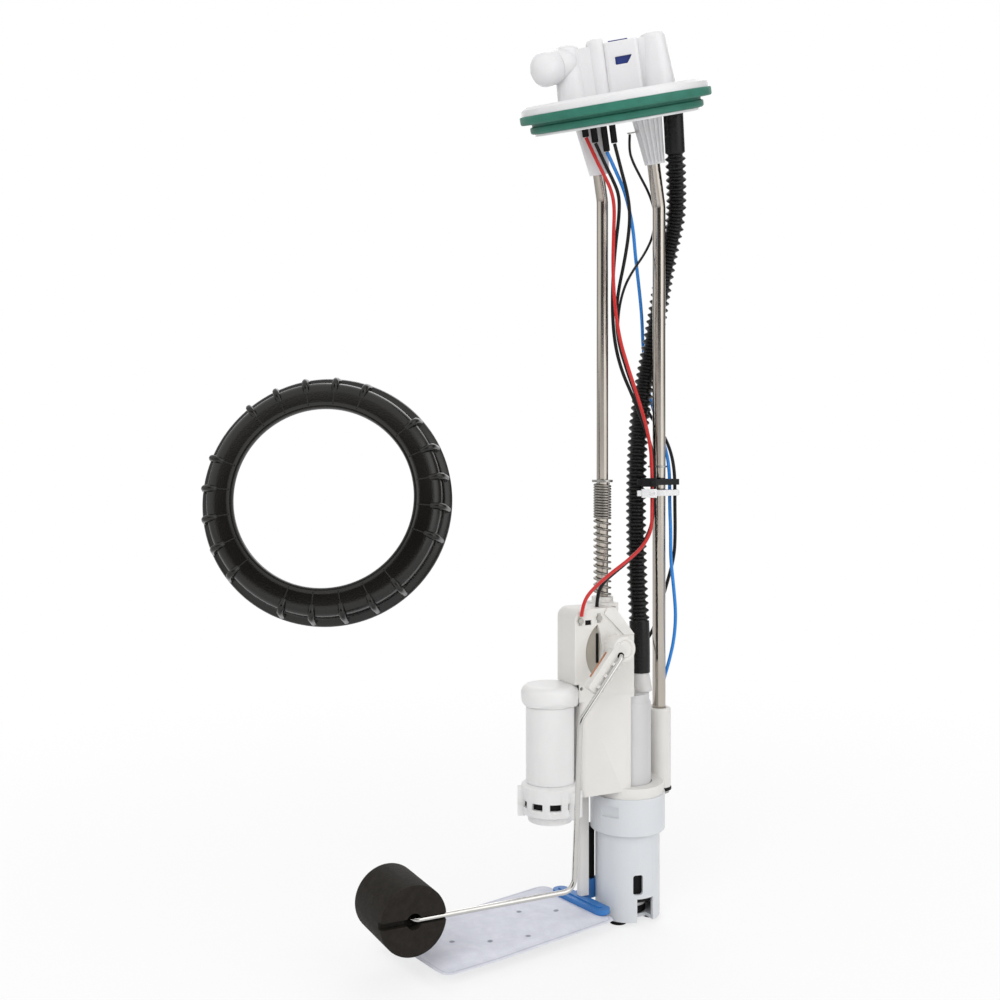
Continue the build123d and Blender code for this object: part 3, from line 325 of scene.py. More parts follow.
@dataclass(frozen=True)
class Felt(Finish):
    """Needled felt: loose fibres every way, pressed flat and grey where it is welded, with painted
    crease shade in a thin band along the seam.
    """

    # The grey of pressed welds, which also serves as painted crease shade along the seam
    press: Point = (0.30, 0.31, 0.36)
    fibre_pull: float = 0.16
    fibre_scale: float = 1500.0

    def height(self, canvas: Canvas, where: bpy.types.NodeSocket,
               grain: bpy.types.Node) -> bpy.types.NodeSocket:
        """Fibres that run along and across, in place of grain."""
        along, across = (place_group(canvas, "lines", where, Stretch=pull, Scale=self.fibre_scale)
                         for pull in ((self.fibre_pull, 1.0, 1.0), (1.0, self.fibre_pull, 1.0)))
        return canvas.maths("MAXIMUM", along.outputs["Height"], across.outputs["Height"])

    def pigment(self, canvas: Canvas, tint: bpy.types.Node) -> bpy.types.NodeSocket:
        """Darker where the piece's weld attribute says that it is pressed, and in the band of painted
        crease shade that the same attribute marks.
        """
        weld_and_crease_shade = canvas.add("Attribute", attribute_name="weld_and_crease_shade")
        return canvas.mixed("RGBA", weld_and_crease_shade.outputs["Fac"], tint.outputs["Colour"], rgba(self.press))


WHITE_HEAD = Finish("head_nylon", (0.78, 0.775, 0.785), (0.68, 0.675, 0.69), roughness=0.26,
                    milky=0.25, tint_scale=35, specks=0.03, coat=0.2)
WHITE_BODY = Finish("carrier_acetal", (0.745, 0.73, 0.705), (0.66, 0.645, 0.62), roughness=0.36,
                    milky=0.15, tint_scale=30, specks=0.04)
WARM_WHITE = Finish("sender_acetal", (0.735, 0.72, 0.69), (0.65, 0.635, 0.60), roughness=0.36,
                    milky=0.12, tint_scale=40, specks=0.05)
MILK_WHITE = Finish("filter_polythene", (0.79, 0.785, 0.78), (0.69, 0.69, 0.69), roughness=0.3,
                    milky=0.35, tint_scale=28, specks=0.02)
COOL_WHITE = Finish("cup_acetal", (0.675, 0.695, 0.72), (0.60, 0.625, 0.655), roughness=0.32,
                    milky=0.15, tint_scale=30, specks=0.03)
FELT = Felt("bag_felt", (0.76, 0.77, 0.84), (0.62, 0.63, 0.72), roughness=0.85, specular=0.15,
            tint_scale=140, tint_amount=0.6, specks=0.35, grain_scale=1500, grain_depth=0.09)
GASKET_GREEN = Finish("gasket_rubber", (0.030, 0.185, 0.130), (0.018, 0.120, 0.082), roughness=0.5,
                      specular=0.35, tint_scale=90, tint_amount=0.6, specks=0.15, grain_depth=0.05)
LOCK_BLUE = Finish("lock_plastic", (0.012, 0.035, 0.22), (0.008, 0.025, 0.15), roughness=0.35)
FRAME_BLUE = Finish("strainer_frame_plastic", (0.035, 0.19, 0.52), (0.03, 0.14, 0.42), roughness=0.36,
                    tint_scale=70)
# Black rubber for feet, seals, boots and bumper; the same black also makes the plate and disc of
# painted shade at the sender's hole and the wire's hole
BLACK_RUBBER_AND_SHADE = Finish("black_rubber_and_painted_shade", (0.006, 0.006, 0.006), (0.014, 0.013, 0.012), roughness=0.55,
                      specular=0.15, grain_depth=0.06)
HOSE_BLACK = Finish("hose_nylon", (0.005, 0.005, 0.005), (0.011, 0.010, 0.010), roughness=0.28,
                    specular=0.28, tint_scale=160)
TIE_BLACK = Finish("tie_nylon_black", (0.006, 0.006, 0.007), (0.014, 0.014, 0.014), roughness=0.32,
                   specular=0.25)
RING_BLACK = Finish("ring_plastic", (0.0058, 0.0052, 0.0042), (0.011, 0.010, 0.008), roughness=0.15,
                    specular=0.45, tint_scale=45, tint_amount=0.5, specks=0.12)
FLOAT_BLACK = Finish("float_foam", (0.017, 0.0145, 0.012), (0.029, 0.025, 0.021), roughness=0.7,
                     specular=0.12, tint_scale=260, tint_amount=0.6, specks=0.35, grain_scale=1100,
                     grain_depth=0.09)
ROD_STEEL = DrawnMetal("rod_stainless", (0.52, 0.48, 0.43), (0.36, 0.325, 0.28), roughness=0.15,
                       grain_scale=2600, grain_depth=0.012, tint_scale=40, tint_amount=0.25)
WIRE_STEEL = DrawnMetal("float_wire_steel", (0.62, 0.61, 0.59), (0.40, 0.39, 0.38), roughness=0.14,
                        grain_scale=2600, grain_depth=0.015, tint_amount=0.2, stretch=(0.2, 1.0, 0.2))
SPRING_STEEL = DrawnMetal("spring_wire_steel", (0.36, 0.34, 0.31), (0.16, 0.15, 0.14), roughness=0.28,
                          grain_scale=2600, grain_depth=0.02)
CLIP_STEEL = DrawnMetal("clip_steel", (0.45, 0.44, 0.42), (0.25, 0.25, 0.24), roughness=0.3)
COPPER = DrawnMetal("wiper_copper", (0.72, 0.36, 0.22), (0.52, 0.24, 0.14), roughness=0.3)
TINNED = DrawnMetal("tinned_brass", (0.42, 0.41, 0.38), (0.26, 0.25, 0.23), roughness=0.3)
PUMP_GREY = Finish("pump_shroud_acetal", (0.60, 0.595, 0.60), (0.52, 0.52, 0.53), roughness=0.34,
                   milky=0.1, tint_scale=30, specks=0.03)
CARD_GREY = Finish("card_alumina", (0.40, 0.37, 0.32), (0.33, 0.30, 0.26), roughness=0.6)
RED_JACKET = Finish("red_jacket", (0.56, 0.012, 0.010), (0.36, 0.008, 0.008), roughness=0.3)
BLUE_JACKET = Finish("blue_jacket", (0.013, 0.223, 0.68), (0.011, 0.17, 0.54), roughness=0.32)
BLACK_JACKET = Finish("black_jacket", (0.005, 0.005, 0.006), (0.012, 0.012, 0.013), roughness=0.32,
                      specular=0.25)
NECK_PLASTIC = Finish("neck_nylon", (0.66, 0.65, 0.64), (0.55, 0.54, 0.53), roughness=0.3, milky=0.4,
                      tint_scale=50)


# Mesh tools


def shift(x: float, y: float, z: float = 0.0) -> Matrix:
    """A move by x, y and z in mm."""
    return Matrix.Translation(Vector((x, y, z)) * MM)


def placed(across: Vector, deep: Vector, up: Vector, at: Point = (0.0, 0.0, 0.0)) -> Matrix:
    """The matrix that turns to three axes and moves to a place, which is in mm."""
    return shift(*at) @ Matrix((across, deep, up)).transposed().to_4x4()


def linked(name: str, data: bpy.types.ID) -> bpy.types.Object:
    """A new object in the scene that shows some data."""
    made = bpy.data.objects.new(name, data)
    bpy.context.scene.collection.objects.link(made)
    return made


def shown_mesh(piece: bpy.types.Object) -> bpy.types.Mesh:
    """A new mesh with the shape that a piece's modifiers or curve show."""
    bpy.context.view_layer.update()
    graph = bpy.context.evaluated_depsgraph_get()
    return bpy.data.meshes.new_from_object(piece.evaluated_get(graph))


def mesh_from(shape: bmesh.types.BMesh, name: str) -> bpy.types.Mesh:
    """The mesh of a shape, which is freed."""
    mesh = bpy.data.meshes.new(name)
    shape.to_mesh(mesh)
    shape.free()
    return mesh


def smooth_line(name: str, *runs: tuple[list[Point], float], steps: int = 12) -> bpy.types.Curve:
    """A curve with smooth NURBS runs.

    Args:
        name: The curve's name.
        runs: The control points of each run in mm, and the run's radius.
        steps: How finely it is cut between two control points.

    Returns:
        The curve.
    """
    data = bpy.data.curves.new(name, "CURVE")
    data.dimensions = "3D"
    data.resolution_u = steps
    for points, radius in runs:
        spline = data.splines.new("NURBS")
        spline.points.add(len(points) - 1)
        for point, (x, y, z) in zip(spline.points, points):
            point.co = (x * MM, y * MM, z * MM, 1.0)
            point.radius = radius
        spline.order_u = 3
        spline.use_endpoint_u = True
    return data


def new_piece(name: str, mesh: bpy.types.Mesh, finish: Finish) -> bpy.types.Object:
    """Make an object from a mesh and give it a finish.

    Args:
        name: The piece's name.
        mesh: Its mesh, with its place in its vertices.
        finish: The finish of the whole piece.

    Returns:
        The object, linked to the scene.
    """
    piece = linked(name, mesh)
    mesh.materials.clear()
    mesh.materials.append(finish.material())
    return piece


def soften(piece: bpy.types.Object, width: float, angle: float = 35.0, segments: int = 2) -> None:
    """Round the sharp edges of a piece and smooth the rest.

    Args:
        piece: The piece to finish.
        width: The bevel's width in metres; none is added at 0.
        angle: Edges that turn more than this, in degrees, count as sharp.
        segments: Steps across each rounded edge.
    """
    mesh = piece.data
    mesh.shade_smooth()
    mesh.set_sharp_from_angle(angle=math.radians(angle))
    if width > 0:
        bevel = piece.modifiers.new("edges", "BEVEL")
        bevel.width = width
        bevel.segments = segments
        bevel.limit_method = "ANGLE"
        bevel.angle_limit = math.radians(angle)
        bevel.harden_normals = False
        bevel.use_clamp_overlap = True
        bevel.miter_outer = "MITER_ARC"


def applied(piece: bpy.types.Object) -> None:
    """Give a piece the shape that its modifiers show, and take them off."""
    mesh = shown_mesh(piece)
    piece.modifiers.clear()
    piece.data = mesh


def plate(outline: list[tuple[float, float]], low: float, high: float,
          place: Matrix) -> bpy.types.Mesh:
    """A flat plate of even thickness.

    Args:
        outline: The corners of its outline in order, in mm.
        low: The height of its underside, in mm.
        high: The height of its top, in mm.
        place: The matrix that carries it to its place, in metres.

    Returns:
        The mesh.
    """
    shape = bmesh.new()
    under = [shape.verts.new(place @ (Vector((x, y, low)) * MM)) for x, y in outline]
    over = [shape.verts.new(place @ (Vector((x, y, high)) * MM)) for x, y in outline]
    shape.faces.new(under)
    shape.faces.new(over)
    for i in range(len(outline)):
        j = (i + 1) % len(outline)
        shape.faces.new((under[i], under[j], over[j], over[i]))
    bmesh.ops.recalc_face_normals(shape, faces=shape.faces)
    return mesh_from(shape, "plate")


def rounded(x: float, y: float, width: float, depth: float, radius: float,
            steps: int = 6) -> list[tuple[float, float]]:
    """The outline of a rounded rectangle round x, y, in mm."""
    spots = []
    for k, (sx, sy) in enumerate(((1, 1), (-1, 1), (-1, -1), (1, -1))):
        for step in range(steps + 1):
            angle = math.pi / 2 * (k + step / steps)
            spots.append((x + sx * (width / 2 - radius) + radius * math.cos(angle),
                          y + sy * (depth / 2 - radius) + radius * math.sin(angle)))
    return spots


def joined(meshes: list[bpy.types.Mesh]) -> bpy.types.Mesh:
    """One mesh with all the given ones in it."""
    shape = bmesh.new()
    for mesh in meshes:
        shape.from_mesh(mesh)
    return mesh_from(shape, "joined")


def lathe(profile: list[tuple[float, float]], place: Matrix, steps: int = 128,
          closed: bool = True) -> bpy.types.Mesh:
    """Turn a section round its axis.

    Args:
        profile: Radius and height pairs in mm.
        place: Where the section's axis lies, in metres.
        steps: Facets round the axis.
        closed: Whether the section's last point joins its first.

    Returns:
        The mesh.
    """
    shape = bmesh.new()
    turns = [2 * math.pi * i / steps for i in range(steps)]
    rings = [[shape.verts.new(place @ (Vector((radius * math.cos(turn), radius * math.sin(turn),
                                               height)) * MM)) for turn in turns]
             for radius, height in profile]
    pairs = list(zip(rings, rings[1:]))
    if closed:
        pairs.append((rings[-1], rings[0]))
    for low, high in pairs:
        for i in range(steps):
            shape.faces.new((low[i], low[(i + 1) % steps], high[(i + 1) % steps], high[i]))
    bmesh.ops.remove_doubles(shape, verts=shape.verts, dist=1e-6)
    bmesh.ops.recalc_face_normals(shape, faces=shape.faces)
    return mesh_from(shape, "turned")


def merged_copy(node: str) -> bpy.types.Mesh:
    """A copy of a CAD node's mesh with its loose triangles joined and flat faces whole.

    Args:
        node: The CAD node's name.

    Returns:
        The mesh.
    """
    shape = bmesh.new()
    shape.from_mesh(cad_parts[node].data)
    bmesh.ops.remove_doubles(shape, verts=shape.verts, dist=2e-6)
    bmesh.ops.dissolve_limit(shape, angle_limit=math.radians(0.6), verts=shape.verts,
                             edges=shape.edges)
    return mesh_from(shape, node + "_shape")


def hand_over(piece: bpy.types.Object, body: Body, *nodes: str) -> None:
    """Make a piece ride on a body and stand for CAD nodes.

    Args:
        piece: The finished piece.
        body: The body it rides on.
        nodes: The CAD nodes it stands for, if any.
    """
    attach(piece, body.value)
    if nodes:
        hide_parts(*nodes)
    LOG.info("%s rides on %s, stands for %s", piece.name, body.value, ", ".join(nodes) or "nothing")


def finished(name: str, mesh: bpy.types.Mesh, finish: Finish, body: Body, *nodes: str,
             bevel: float = 0.0, angle: float = 50.0, segments: int = 2) -> None:
    """Make a piece with soft edges and let it ride on a body.

    Args:
        name: The piece's name.
        mesh: Its mesh.
        finish: Its finish.
        body: The body it rides on.
        nodes: The CAD nodes it stands for, if any.
        bevel: The width of its soft edges in metres; at 0 they are only shaded.
        angle: Edges that turn more than this, in degrees, count as sharp.
        segments: Steps across each soft edge.
    """
    piece = new_piece(name, mesh, finish)
    soften(piece, bevel, angle, segments)
    hand_over(piece, body, *nodes)


def dress(node: str, finish: Finish, body: Body, bevel: float = 0.0003,
          angle: float = 35.0) -> None:
    """Stand a finished copy with soft edges in for a CAD node.

    Args:
        node: The CAD node's name.
        finish: Its finish.
        body: The body it rides on.
        bevel: The width of its soft edges in metres.
        angle: Edges that turn more than this, in degrees, are rounded.
    """
    finished(node + "_dressed", merged_copy(node), finish, body, node, bevel=bevel, angle=angle)


def dress_all(body: Body, *rows: tuple[str, Finish, float]) -> None:
    """Dress CAD nodes of one body; each row has a node, its finish and its edges' width."""
    for node, finish, bevel in rows:
        dress(node, finish, body, bevel)


# Geometry node tools


class Grower(Canvas):
    """Adds and joins nodes in one geometry node tree."""

    def __init__(self, name: str, inputs: dict[str, tuple[str, object]]) -> None:
        """Start a tree with named inputs.

        Args:
            name: The tree's name.
            inputs: Socket type and default value by input name.
        """
        super().__init__(bpy.data.node_groups.new(name, "GeometryNodeTree"))
        face = self.tree.interface
        face.new_socket("Geometry", in_out="INPUT", socket_type="NodeSocketGeometry")
        for label, (kind, value) in {**inputs, "Material": ("NodeSocketMaterial", None)}.items():
            socket = face.new_socket(label, in_out="INPUT", socket_type=kind)
            if value is not None:
                socket.default_value = value
        face.new_socket("Geometry", in_out="OUTPUT", socket_type="NodeSocketGeometry")
        self.given = self.tree.nodes.new("NodeGroupInput").outputs
        self.result = self.tree.nodes.new("NodeGroupOutput")

    def close(self, geometry: bpy.types.NodeSocket) -> bpy.types.NodeTree:
        """End the tree with real meshes and the material input.

        Args:
            geometry: The geometry to finish.

        Returns:
            The tree.
        """
        real = self.add("GeometryNodeRealizeInstances", geometry)
        smooth = self.add("GeometryNodeSetShadeSmooth", real.outputs[0])
        dressed = self.add("GeometryNodeSetMaterial", smooth.outputs[0], None,
                           self.given["Material"])
        self.feed(self.result.inputs[0], dressed.outputs[0])
        return self.tree


def grown(name: str, source: bpy.types.ID, tree: bpy.types.NodeTree, finish: Finish,
          values: dict[str, object]) -> bpy.types.Object:
    """Run a geometry node tree on some data and keep the plain mesh.

    Args:
        name: The new piece's name.
        source: A mesh or curve to start from.
        tree: The tree.
        finish: The piece's finish, for the input Material.
        values: The other inputs' values by name.

    Returns:
        The finished piece.
    """
    values = {**values, "Material": finish.material()}
    holder = linked(name + "_source", source)
    modifier = holder.modifiers.new("grow", "NODES")
    modifier.node_group = tree
    for item in tree.interface.items_tree:
        if item.item_type == "SOCKET" and item.in_out == "INPUT" and item.name in values:
            modifier[item.identifier] = values[item.name]
    mesh = shown_mesh(holder)
    bpy.data.objects.remove(holder)
    return linked(name, mesh)


def tube_tree() -> bpy.types.NodeTree:
    """A plain round tube along a curve, with closed ends.

    Returns:
        The tree; its inputs are Radius, Sides, Step and Material.
    """
    grow = Grower("RoundTube", {
        "Radius": ("NodeSocketFloat", 0.001), "Sides": ("NodeSocketInt", 16),
        "Step": ("NodeSocketFloat", 0.0015)})
    given = grow.given
    line = grow.add("GeometryNodeResampleCurve", given[0], mode="LENGTH", Length=given["Step"])
    ring = grow.add("GeometryNodeCurvePrimitiveCircle", mode="RADIUS", Resolution=given["Sides"],
                    Radius=given["Radius"])
    skin = grow.add("GeometryNodeCurveToMesh", line.outputs[0], ring.outputs[0], Fill_Caps=True)
    return grow.close(skin.outputs[0])


def hose_tree() -> bpy.types.NodeTree:
    """A corrugated hose along a curve, with a plain cuff at each end.

    Returns:
        The tree; its inputs are Ridge, Valley, Pitch, Cuff, Upper cuff, Lower cuff and Material.
    """
    grow = Grower("CorrugatedHose", {
        "Ridge": ("NodeSocketFloat", 0.0063), "Valley": ("NodeSocketFloat", 0.0047),
        "Pitch": ("NodeSocketFloat", 0.0042), "Cuff": ("NodeSocketFloat", 0.0060),
        "Upper cuff": ("NodeSocketFloat", 0.02), "Lower cuff": ("NodeSocketFloat", 0.03)})
    given = grow.given
    line = grow.add("GeometryNodeResampleCurve", given[0], mode="LENGTH",
                    Length=grow.maths("DIVIDE", given["Pitch"], 8.0))
    along = grow.add("GeometryNodeSplineParameter").outputs["Length"]
    whole = grow.add("GeometryNodeSplineLength").outputs["Length"]
    turns = grow.maths("MULTIPLY", grow.maths("DIVIDE", along, given["Pitch"]), 2 * math.pi)
    wave = grow.maths("POWER", grow.maths("MULTIPLY_ADD", grow.maths("COSINE", turns), 0.5, 0.5), 1.3)
    depth = grow.maths("SUBTRACT", given["Ridge"], given["Valley"])
    ribbed = grow.maths("MULTIPLY_ADD", wave, depth, given["Valley"])
    above = grow.maths("LESS_THAN", along, given["Upper cuff"])
    below = grow.maths("GREATER_THAN", along, grow.maths("SUBTRACT", whole, given["Lower cuff"]))
    plain = grow.maths("MAXIMUM", above, below)
    pick = grow.add("GeometryNodeSwitch", plain, ribbed, given["Cuff"], input_type="FLOAT")
    ring = grow.add("GeometryNodeCurvePrimitiveCircle", 32, mode="RADIUS", Radius=1.0)
    skin = grow.add("GeometryNodeCurveToMesh", line.outputs[0], ring.outputs[0],
                    Scale=pick.outputs[0], Fill_Caps=True)
    return grow.close(skin.outputs[0])


def rib_tree() -> bpy.types.NodeTree:
    """Ribs of one shape, in groups that are spread evenly round an axis.

    Returns:
        The tree; its inputs are Groups, Ribs, First, Pitch and Material.
    """
    grow = Grower("RibGroups", {
        "Groups": ("NodeSocketInt", 4), "Ribs": ("NodeSocketInt", 5),
        "First": ("NodeSocketFloat", 0.0), "Pitch": ("NodeSocketFloat", 0.26)})
    given = grow.given
    ring = grow.add("GeometryNodeCurvePrimitiveCircle", 10, mode="RADIUS", Radius=MM)
    skin = grow.add("GeometryNodeCurveToMesh", given[0], ring.outputs[0], Fill_Caps=True,
                    Scale=grow.add("GeometryNodeInputRadius").outputs[0])
    count = grow.maths("MULTIPLY", given["Groups"], given["Ribs"])
    spots = grow.add("GeometryNodeMeshLine", count, Offset=(0, 0, 0))
    index = grow.add("GeometryNodeInputIndex").outputs[0]
    group = grow.maths("FLOOR", grow.maths("DIVIDE", index, given["Ribs"]))
    share = grow.maths("DIVIDE", 2 * math.pi, given["Groups"])
    start = grow.maths("MULTIPLY_ADD", group, share, given["First"])
    angle = grow.maths("MULTIPLY_ADD", grow.maths("MODULO", index, given["Ribs"]), given["Pitch"],
                       start)
    turn = grow.add("CombineXYZ", None, None, angle)
    copies = grow.add("GeometryNodeInstanceOnPoints", spots.outputs[0], None, skin.outputs[0],
                      Rotation=turn.outputs[0])
    return grow.close(copies.outputs[0])


def coil_tree() -> bpy.types.NodeTree:
    """A spring with close turns above and open turns below.

    Returns:
        The tree; its inputs are the turns, pitches, radii, the top's place and Material.
    """
    grow = Grower("TwoPartSpring", {
        "Close turns": ("NodeSocketFloat", 13.0), "Open turns": ("NodeSocketFloat", 12.0),
        "Close pitch": ("NodeSocketFloat", 0.0016), "Open pitch": ("NodeSocketFloat", 0.004),
        "Coil radius": ("NodeSocketFloat", 0.0048), "Wire radius": ("NodeSocketFloat", 0.0007),
        "Centre": ("NodeSocketVector", (0, 0, 0))})
    given = grow.given
    steps = 28.0
    turns = grow.maths("ADD", given["Close turns"], given["Open turns"])
    base = grow.add("GeometryNodeMeshLine", grow.maths("MULTIPLY", turns, steps))
    turn = grow.maths("DIVIDE", grow.add("GeometryNodeInputIndex").outputs[0], steps)
    angle = grow.maths("MULTIPLY", turn, 2 * math.pi)
    close = grow.maths("MULTIPLY", grow.maths("MINIMUM", turn, given["Close turns"]),
                       given["Close pitch"])
    past = grow.maths("MAXIMUM", grow.maths("SUBTRACT", turn, given["Close turns"]), 0.0)
    drop = grow.maths("MULTIPLY", grow.maths("MULTIPLY_ADD", past, given["Open pitch"], close), -1.0)
    spot = grow.add("CombineXYZ",
                    grow.maths("MULTIPLY", grow.maths("COSINE", angle), given["Coil radius"]),
                    grow.maths("MULTIPLY", grow.maths("SINE", angle), given["Coil radius"]), drop)
    place = grow.add("VectorMath", spot.outputs[0], given["Centre"], operation="ADD")
    moved = grow.add("GeometryNodeSetPosition", base.outputs[0], None, place.outputs[0])
    line = grow.add("GeometryNodeMeshToCurve", moved.outputs[0])
    ring = grow.add("GeometryNodeCurvePrimitiveCircle", 10, mode="RADIUS",
                    Radius=given["Wire radius"])
    skin = grow.add("GeometryNodeCurveToMesh", line.outputs[0], ring.outputs[0], Fill_Caps=True)
    return grow.close(skin.outputs[0])


# The head's frame


@dataclass(frozen=True)
class HeadFrame:
    """How the head leans on the rods."""

    tilt: float = 17.5
    heading: float = 210.6
    turn: float = -32.5

    def matrix(self) -> Matrix:
        """The head's axes and the seat's middle as a 4x4 matrix in metres."""
        tilt, heading, turn = (math.radians(a) for a in (self.tilt, self.heading, self.turn))
        normal = Vector((math.sin(tilt) * math.cos(heading), math.sin(tilt) * math.sin(heading),
                         math.cos(tilt)))
        aim = Vector((math.cos(turn), math.sin(turn), 0.0))
        across = (aim - normal * aim.dot(normal)).normalized()
        return placed(across, normal.cross(across), normal)

    def at(self, x: float, y: float, h: float) -> Point:
        """A point given in the head's plane, in mm of the row frame."""
        spot = self.matrix() @ Vector((x, y, h))
        return (spot.x, spot.y, spot.z)


HEAD = HeadFrame()
ROD_BEND_Z = -51.0


def foot_of(at: tuple[float, float]) -> tuple[float, float]:
    """Where the upper stretch of a rod at a place meets the head's seat, in the head's plane."""
    spot = HEAD.matrix().inverted() @ Vector((*at, ROD_BEND_Z))
    return (spot.x, spot.y)


RIGHT_FOOT = foot_of((38.5, 10.7))


# Hose and leads


@dataclass
class Route:
    """A hose or lead: its control points in mm, its size and where it bends."""

    node: str
    points: list[Point]
    diameter: float
    length: float
    finish: Finish
    stiffness: Stiffness = Stiffness.LIMP
    slides: tuple[float, float] | None = (-240.0, -288.0)

    def curve(self) -> bpy.types.Curve:
        """The smooth line along the route, as a NURBS spline."""
        return smooth_line(self.node + "_line", (self.points, 1.0), steps=14)

    def line_points(self) -> list[Point]:
        """Points along the spline, read from the spline itself, in metres."""
        probe = linked(self.node + "_probe", self.curve())
        mesh = shown_mesh(probe)
        bpy.data.objects.remove(probe)
        return [tuple(v.co) for v in mesh.vertices]

    def build(self, tree: bpy.types.NodeTree, values: dict[str, object]) -> bpy.types.Object:
        """Args:
            tree: The geometry node tree that makes its skin.
            values: The tree's inputs.

        Returns:
            The piece.
        """
        piece = grown(self.node + "_cord", self.curve(), tree, self.finish, values)
        self.line_points()
        if self.slides is None:
            hand_over(piece, Body.FLANGE, self.node)
            return piece
        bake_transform(piece)
        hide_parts(self.node)
        LOG.info("%s bends between flange and carrier", piece.name)
        return piece


@dataclass
class Harness:
    """The fuel hose and the five leads between the head and the carrier."""

    hose_at: tuple[float, float] = (34.3, 13.3)
    boot_y: float = -17.0
    lead_gap: float = 0.35
    lead_d: float = 2.1
    earth_d: float = 1.6
    hose_d: float = 12.6
    hose_skin: dict[str, float] = field(default_factory=lambda: {
        "Ridge": 0.0063, "Valley": 0.0044, "Pitch": 0.0043, "Cuff": 0.0060, "Upper cuff": 0.026,
        "Lower cuff": 0.031})
    boots: dict[str, tuple[float, float]] = field(default_factory=lambda: {
        "red": (-19.0, -11.0), "black_sender": (-14.0, -15.0), "blue": (-8.0, -21.0),
        "black_pump": (-3.0, -17.0)})
    tied: dict[str, tuple[float, float]] = field(default_factory=lambda: {
        "red": (28.5, 3.6), "black_sender": (31.8, 6.0), "blue": (44.9, 8.5),
        "black_pump": (46.2, 4.8)})

    def start(self, lead: str) -> Point:
        """Where a lead leaves its boot."""
        x, h = self.boots[lead]
        return HEAD.at(x, self.boot_y, h - self.lead_gap)

    def tie(self, lead: str) -> list[Point]:
        """The straight run of a lead inside both ties."""
        return [(*self.tied[lead], z) for z in (-212.0, -236.0)]

    def routes(self) -> list[Route]:
        """The leads' routes, from the head down.

        Returns:
            One route for each lead.
        """
        red = [self.start("red"), (-16, -3, -29.5), (-10, -3, -39), (-4.5, -2, -46.5),
               (-1, -0.5, -56), (-0.5, 1.5, -73), (-1, 1.5, -94), (0, 1, -114.5), (3, 0.5, -134.5),
               (9.5, 2, -150), (17, 3.5, -166.5), (23.5, 4, -183), (27.5, 4, -198), *self.tie("red"),
               (23.5, -3.5, -249.5), (13.5, -8.5, -259), (1, -10, -267), (-12, -11.5, -274),
               (-23, -14.5, -280), (-30.3, -16.8, -285), (-33.2, -17, -291.5), (-33.5, -16.6, -296.2)]
        black_sender = [self.start("black_sender"), (-10, -3.5, -32), (-3.5, -2.5, -41),
                        (2, -1, -49.5), (3.5, 1.5, -61), (2.5, 4, -78), (1.5, 5.5, -99),
                        (1.5, 6, -120), (4, 7, -138), (10, 8.5, -154), (18, 8.5, -169),
                        (25.5, 8.5, -185), (30.5, 7, -199.5), *self.tie("black_sender"),
                        (27, 2.5, -249), (17.5, -1, -260), (7, -3, -267.5), (-4, -5.2, -273.5),
                        (-13, -7.2, -278.5), (-17.6, -8, -285), (-18, -8, -292.5)]
        blue = [self.start("blue"), (-2.5, -4.5, -36.5), (4.5, -2.5, -46.5), (10, 1, -55.5),
                (15.5, 4.5, -68), (23, 13.5, -82.5), (31, 21.5, -100.5), (37.5, 28, -118),
                (42.5, 34.5, -136), (44, 32.5, -158), (44.5, 24.5, -179), (45, 14.5, -197),
                *self.tie("blue"), (44, 6, -252), (43.5, 5.5, -268), (45.5, 5, -286),
                (46.5, 4, -303), (46, 5.5, -319), (45, 10, -334), (44, 15, -347),
                (44, 17.8, -359.65)]
        black_pump = [self.start("black_pump"), (-0.5, -7, -36), (3.5, -7, -48), (7, -5, -59.5),
                      (8, -2, -72.5), (8.5, 3.5, -88), (8, 9.5, -104.5), (10, 15, -118),
                      (15.5, 21.5, -134), (25.5, 28, -150), (37, 32.5, -165.5), (46.5, 30.5, -181),
                      (51.5, 20.5, -195), *self.tie("black_pump"), (47, 5.5, -251),
                      (48.5, 8.5, -267), (47.5, 15, -284.5), (45.5, 20, -300), (41, 19.5, -312.5),
                      (33.5, 17.5, -320), (25.5, 14.5, -326.5), (17, 12.2, -332.5),
                      (14, 11.4, -340.65)]
        earth = [HEAD.at(6.7, 8.8, -14.15), (13.7, 6.6, -19), (17, 7.5, -26), (24, 10, -33.5),
                 (35, 16.5, -41.5), (43.5, 22, -52), (43.5, 24, -66), (32.5, 17.5, -79.5),
                 (18.5, 8.5, -91), (8, 3, -103), (4.8, 4.2, -117), (6.5, 8, -132),
                 (12.5, 10, -149), (21, 11, -167), (28.5, 10.5, -184), (32.4, 10.6, -199),
                 (32.4, 10.7, -210.9)]
        return [
            Route("wire_red", red, self.lead_d, 321.9, RED_JACKET, slides=(-240.0, -279.0)),
            Route("wire_black_sender", black_sender, self.lead_d, 307.0, BLACK_JACKET,
                  slides=(-240.0, -284.0)),
            Route("wire_blue", blue, self.lead_d, 360.3, BLUE_JACKET, slides=(-245.0, -345.0)),
            Route("wire_black_pump", black_pump, self.lead_d, 362.5, BLACK_JACKET,
                  slides=(-245.0, -330.0)),
            Route("wire_earth", earth, self.earth_d, 238.2, BLACK_JACKET, slides=None)]

    def build(self) -> None:
        """Make the hose and every lead."""
        hose = [HEAD.at(*self.hose_at, -3.0), (39.5, -5, -20), (46, 3, -38), (51, 10, -56),
                (50.5, 17, -75), (47.5, 20.5, -98), (43.5, 22, -125), (37.5, 23, -152),
                (30, 19.5, -180), (25, 15, -206), (22, 11.5, -232), (20, 8, -259),
                (18.5, 4.5, -286), (18.6, 1.8, -312), (18.6, 1.8, -335.2)]
        Route("fuel_hose", hose, self.hose_d, 351.0, HOSE_BLACK, Stiffness.STIFF,
              (-236.0, -330.0)).build(hose_tree(), self.hose_skin)
        tube = tube_tree()
        for route in self.routes():
            route.build(tube, {"Radius": route.diameter / 2 * MM})


# Sub-assemblies


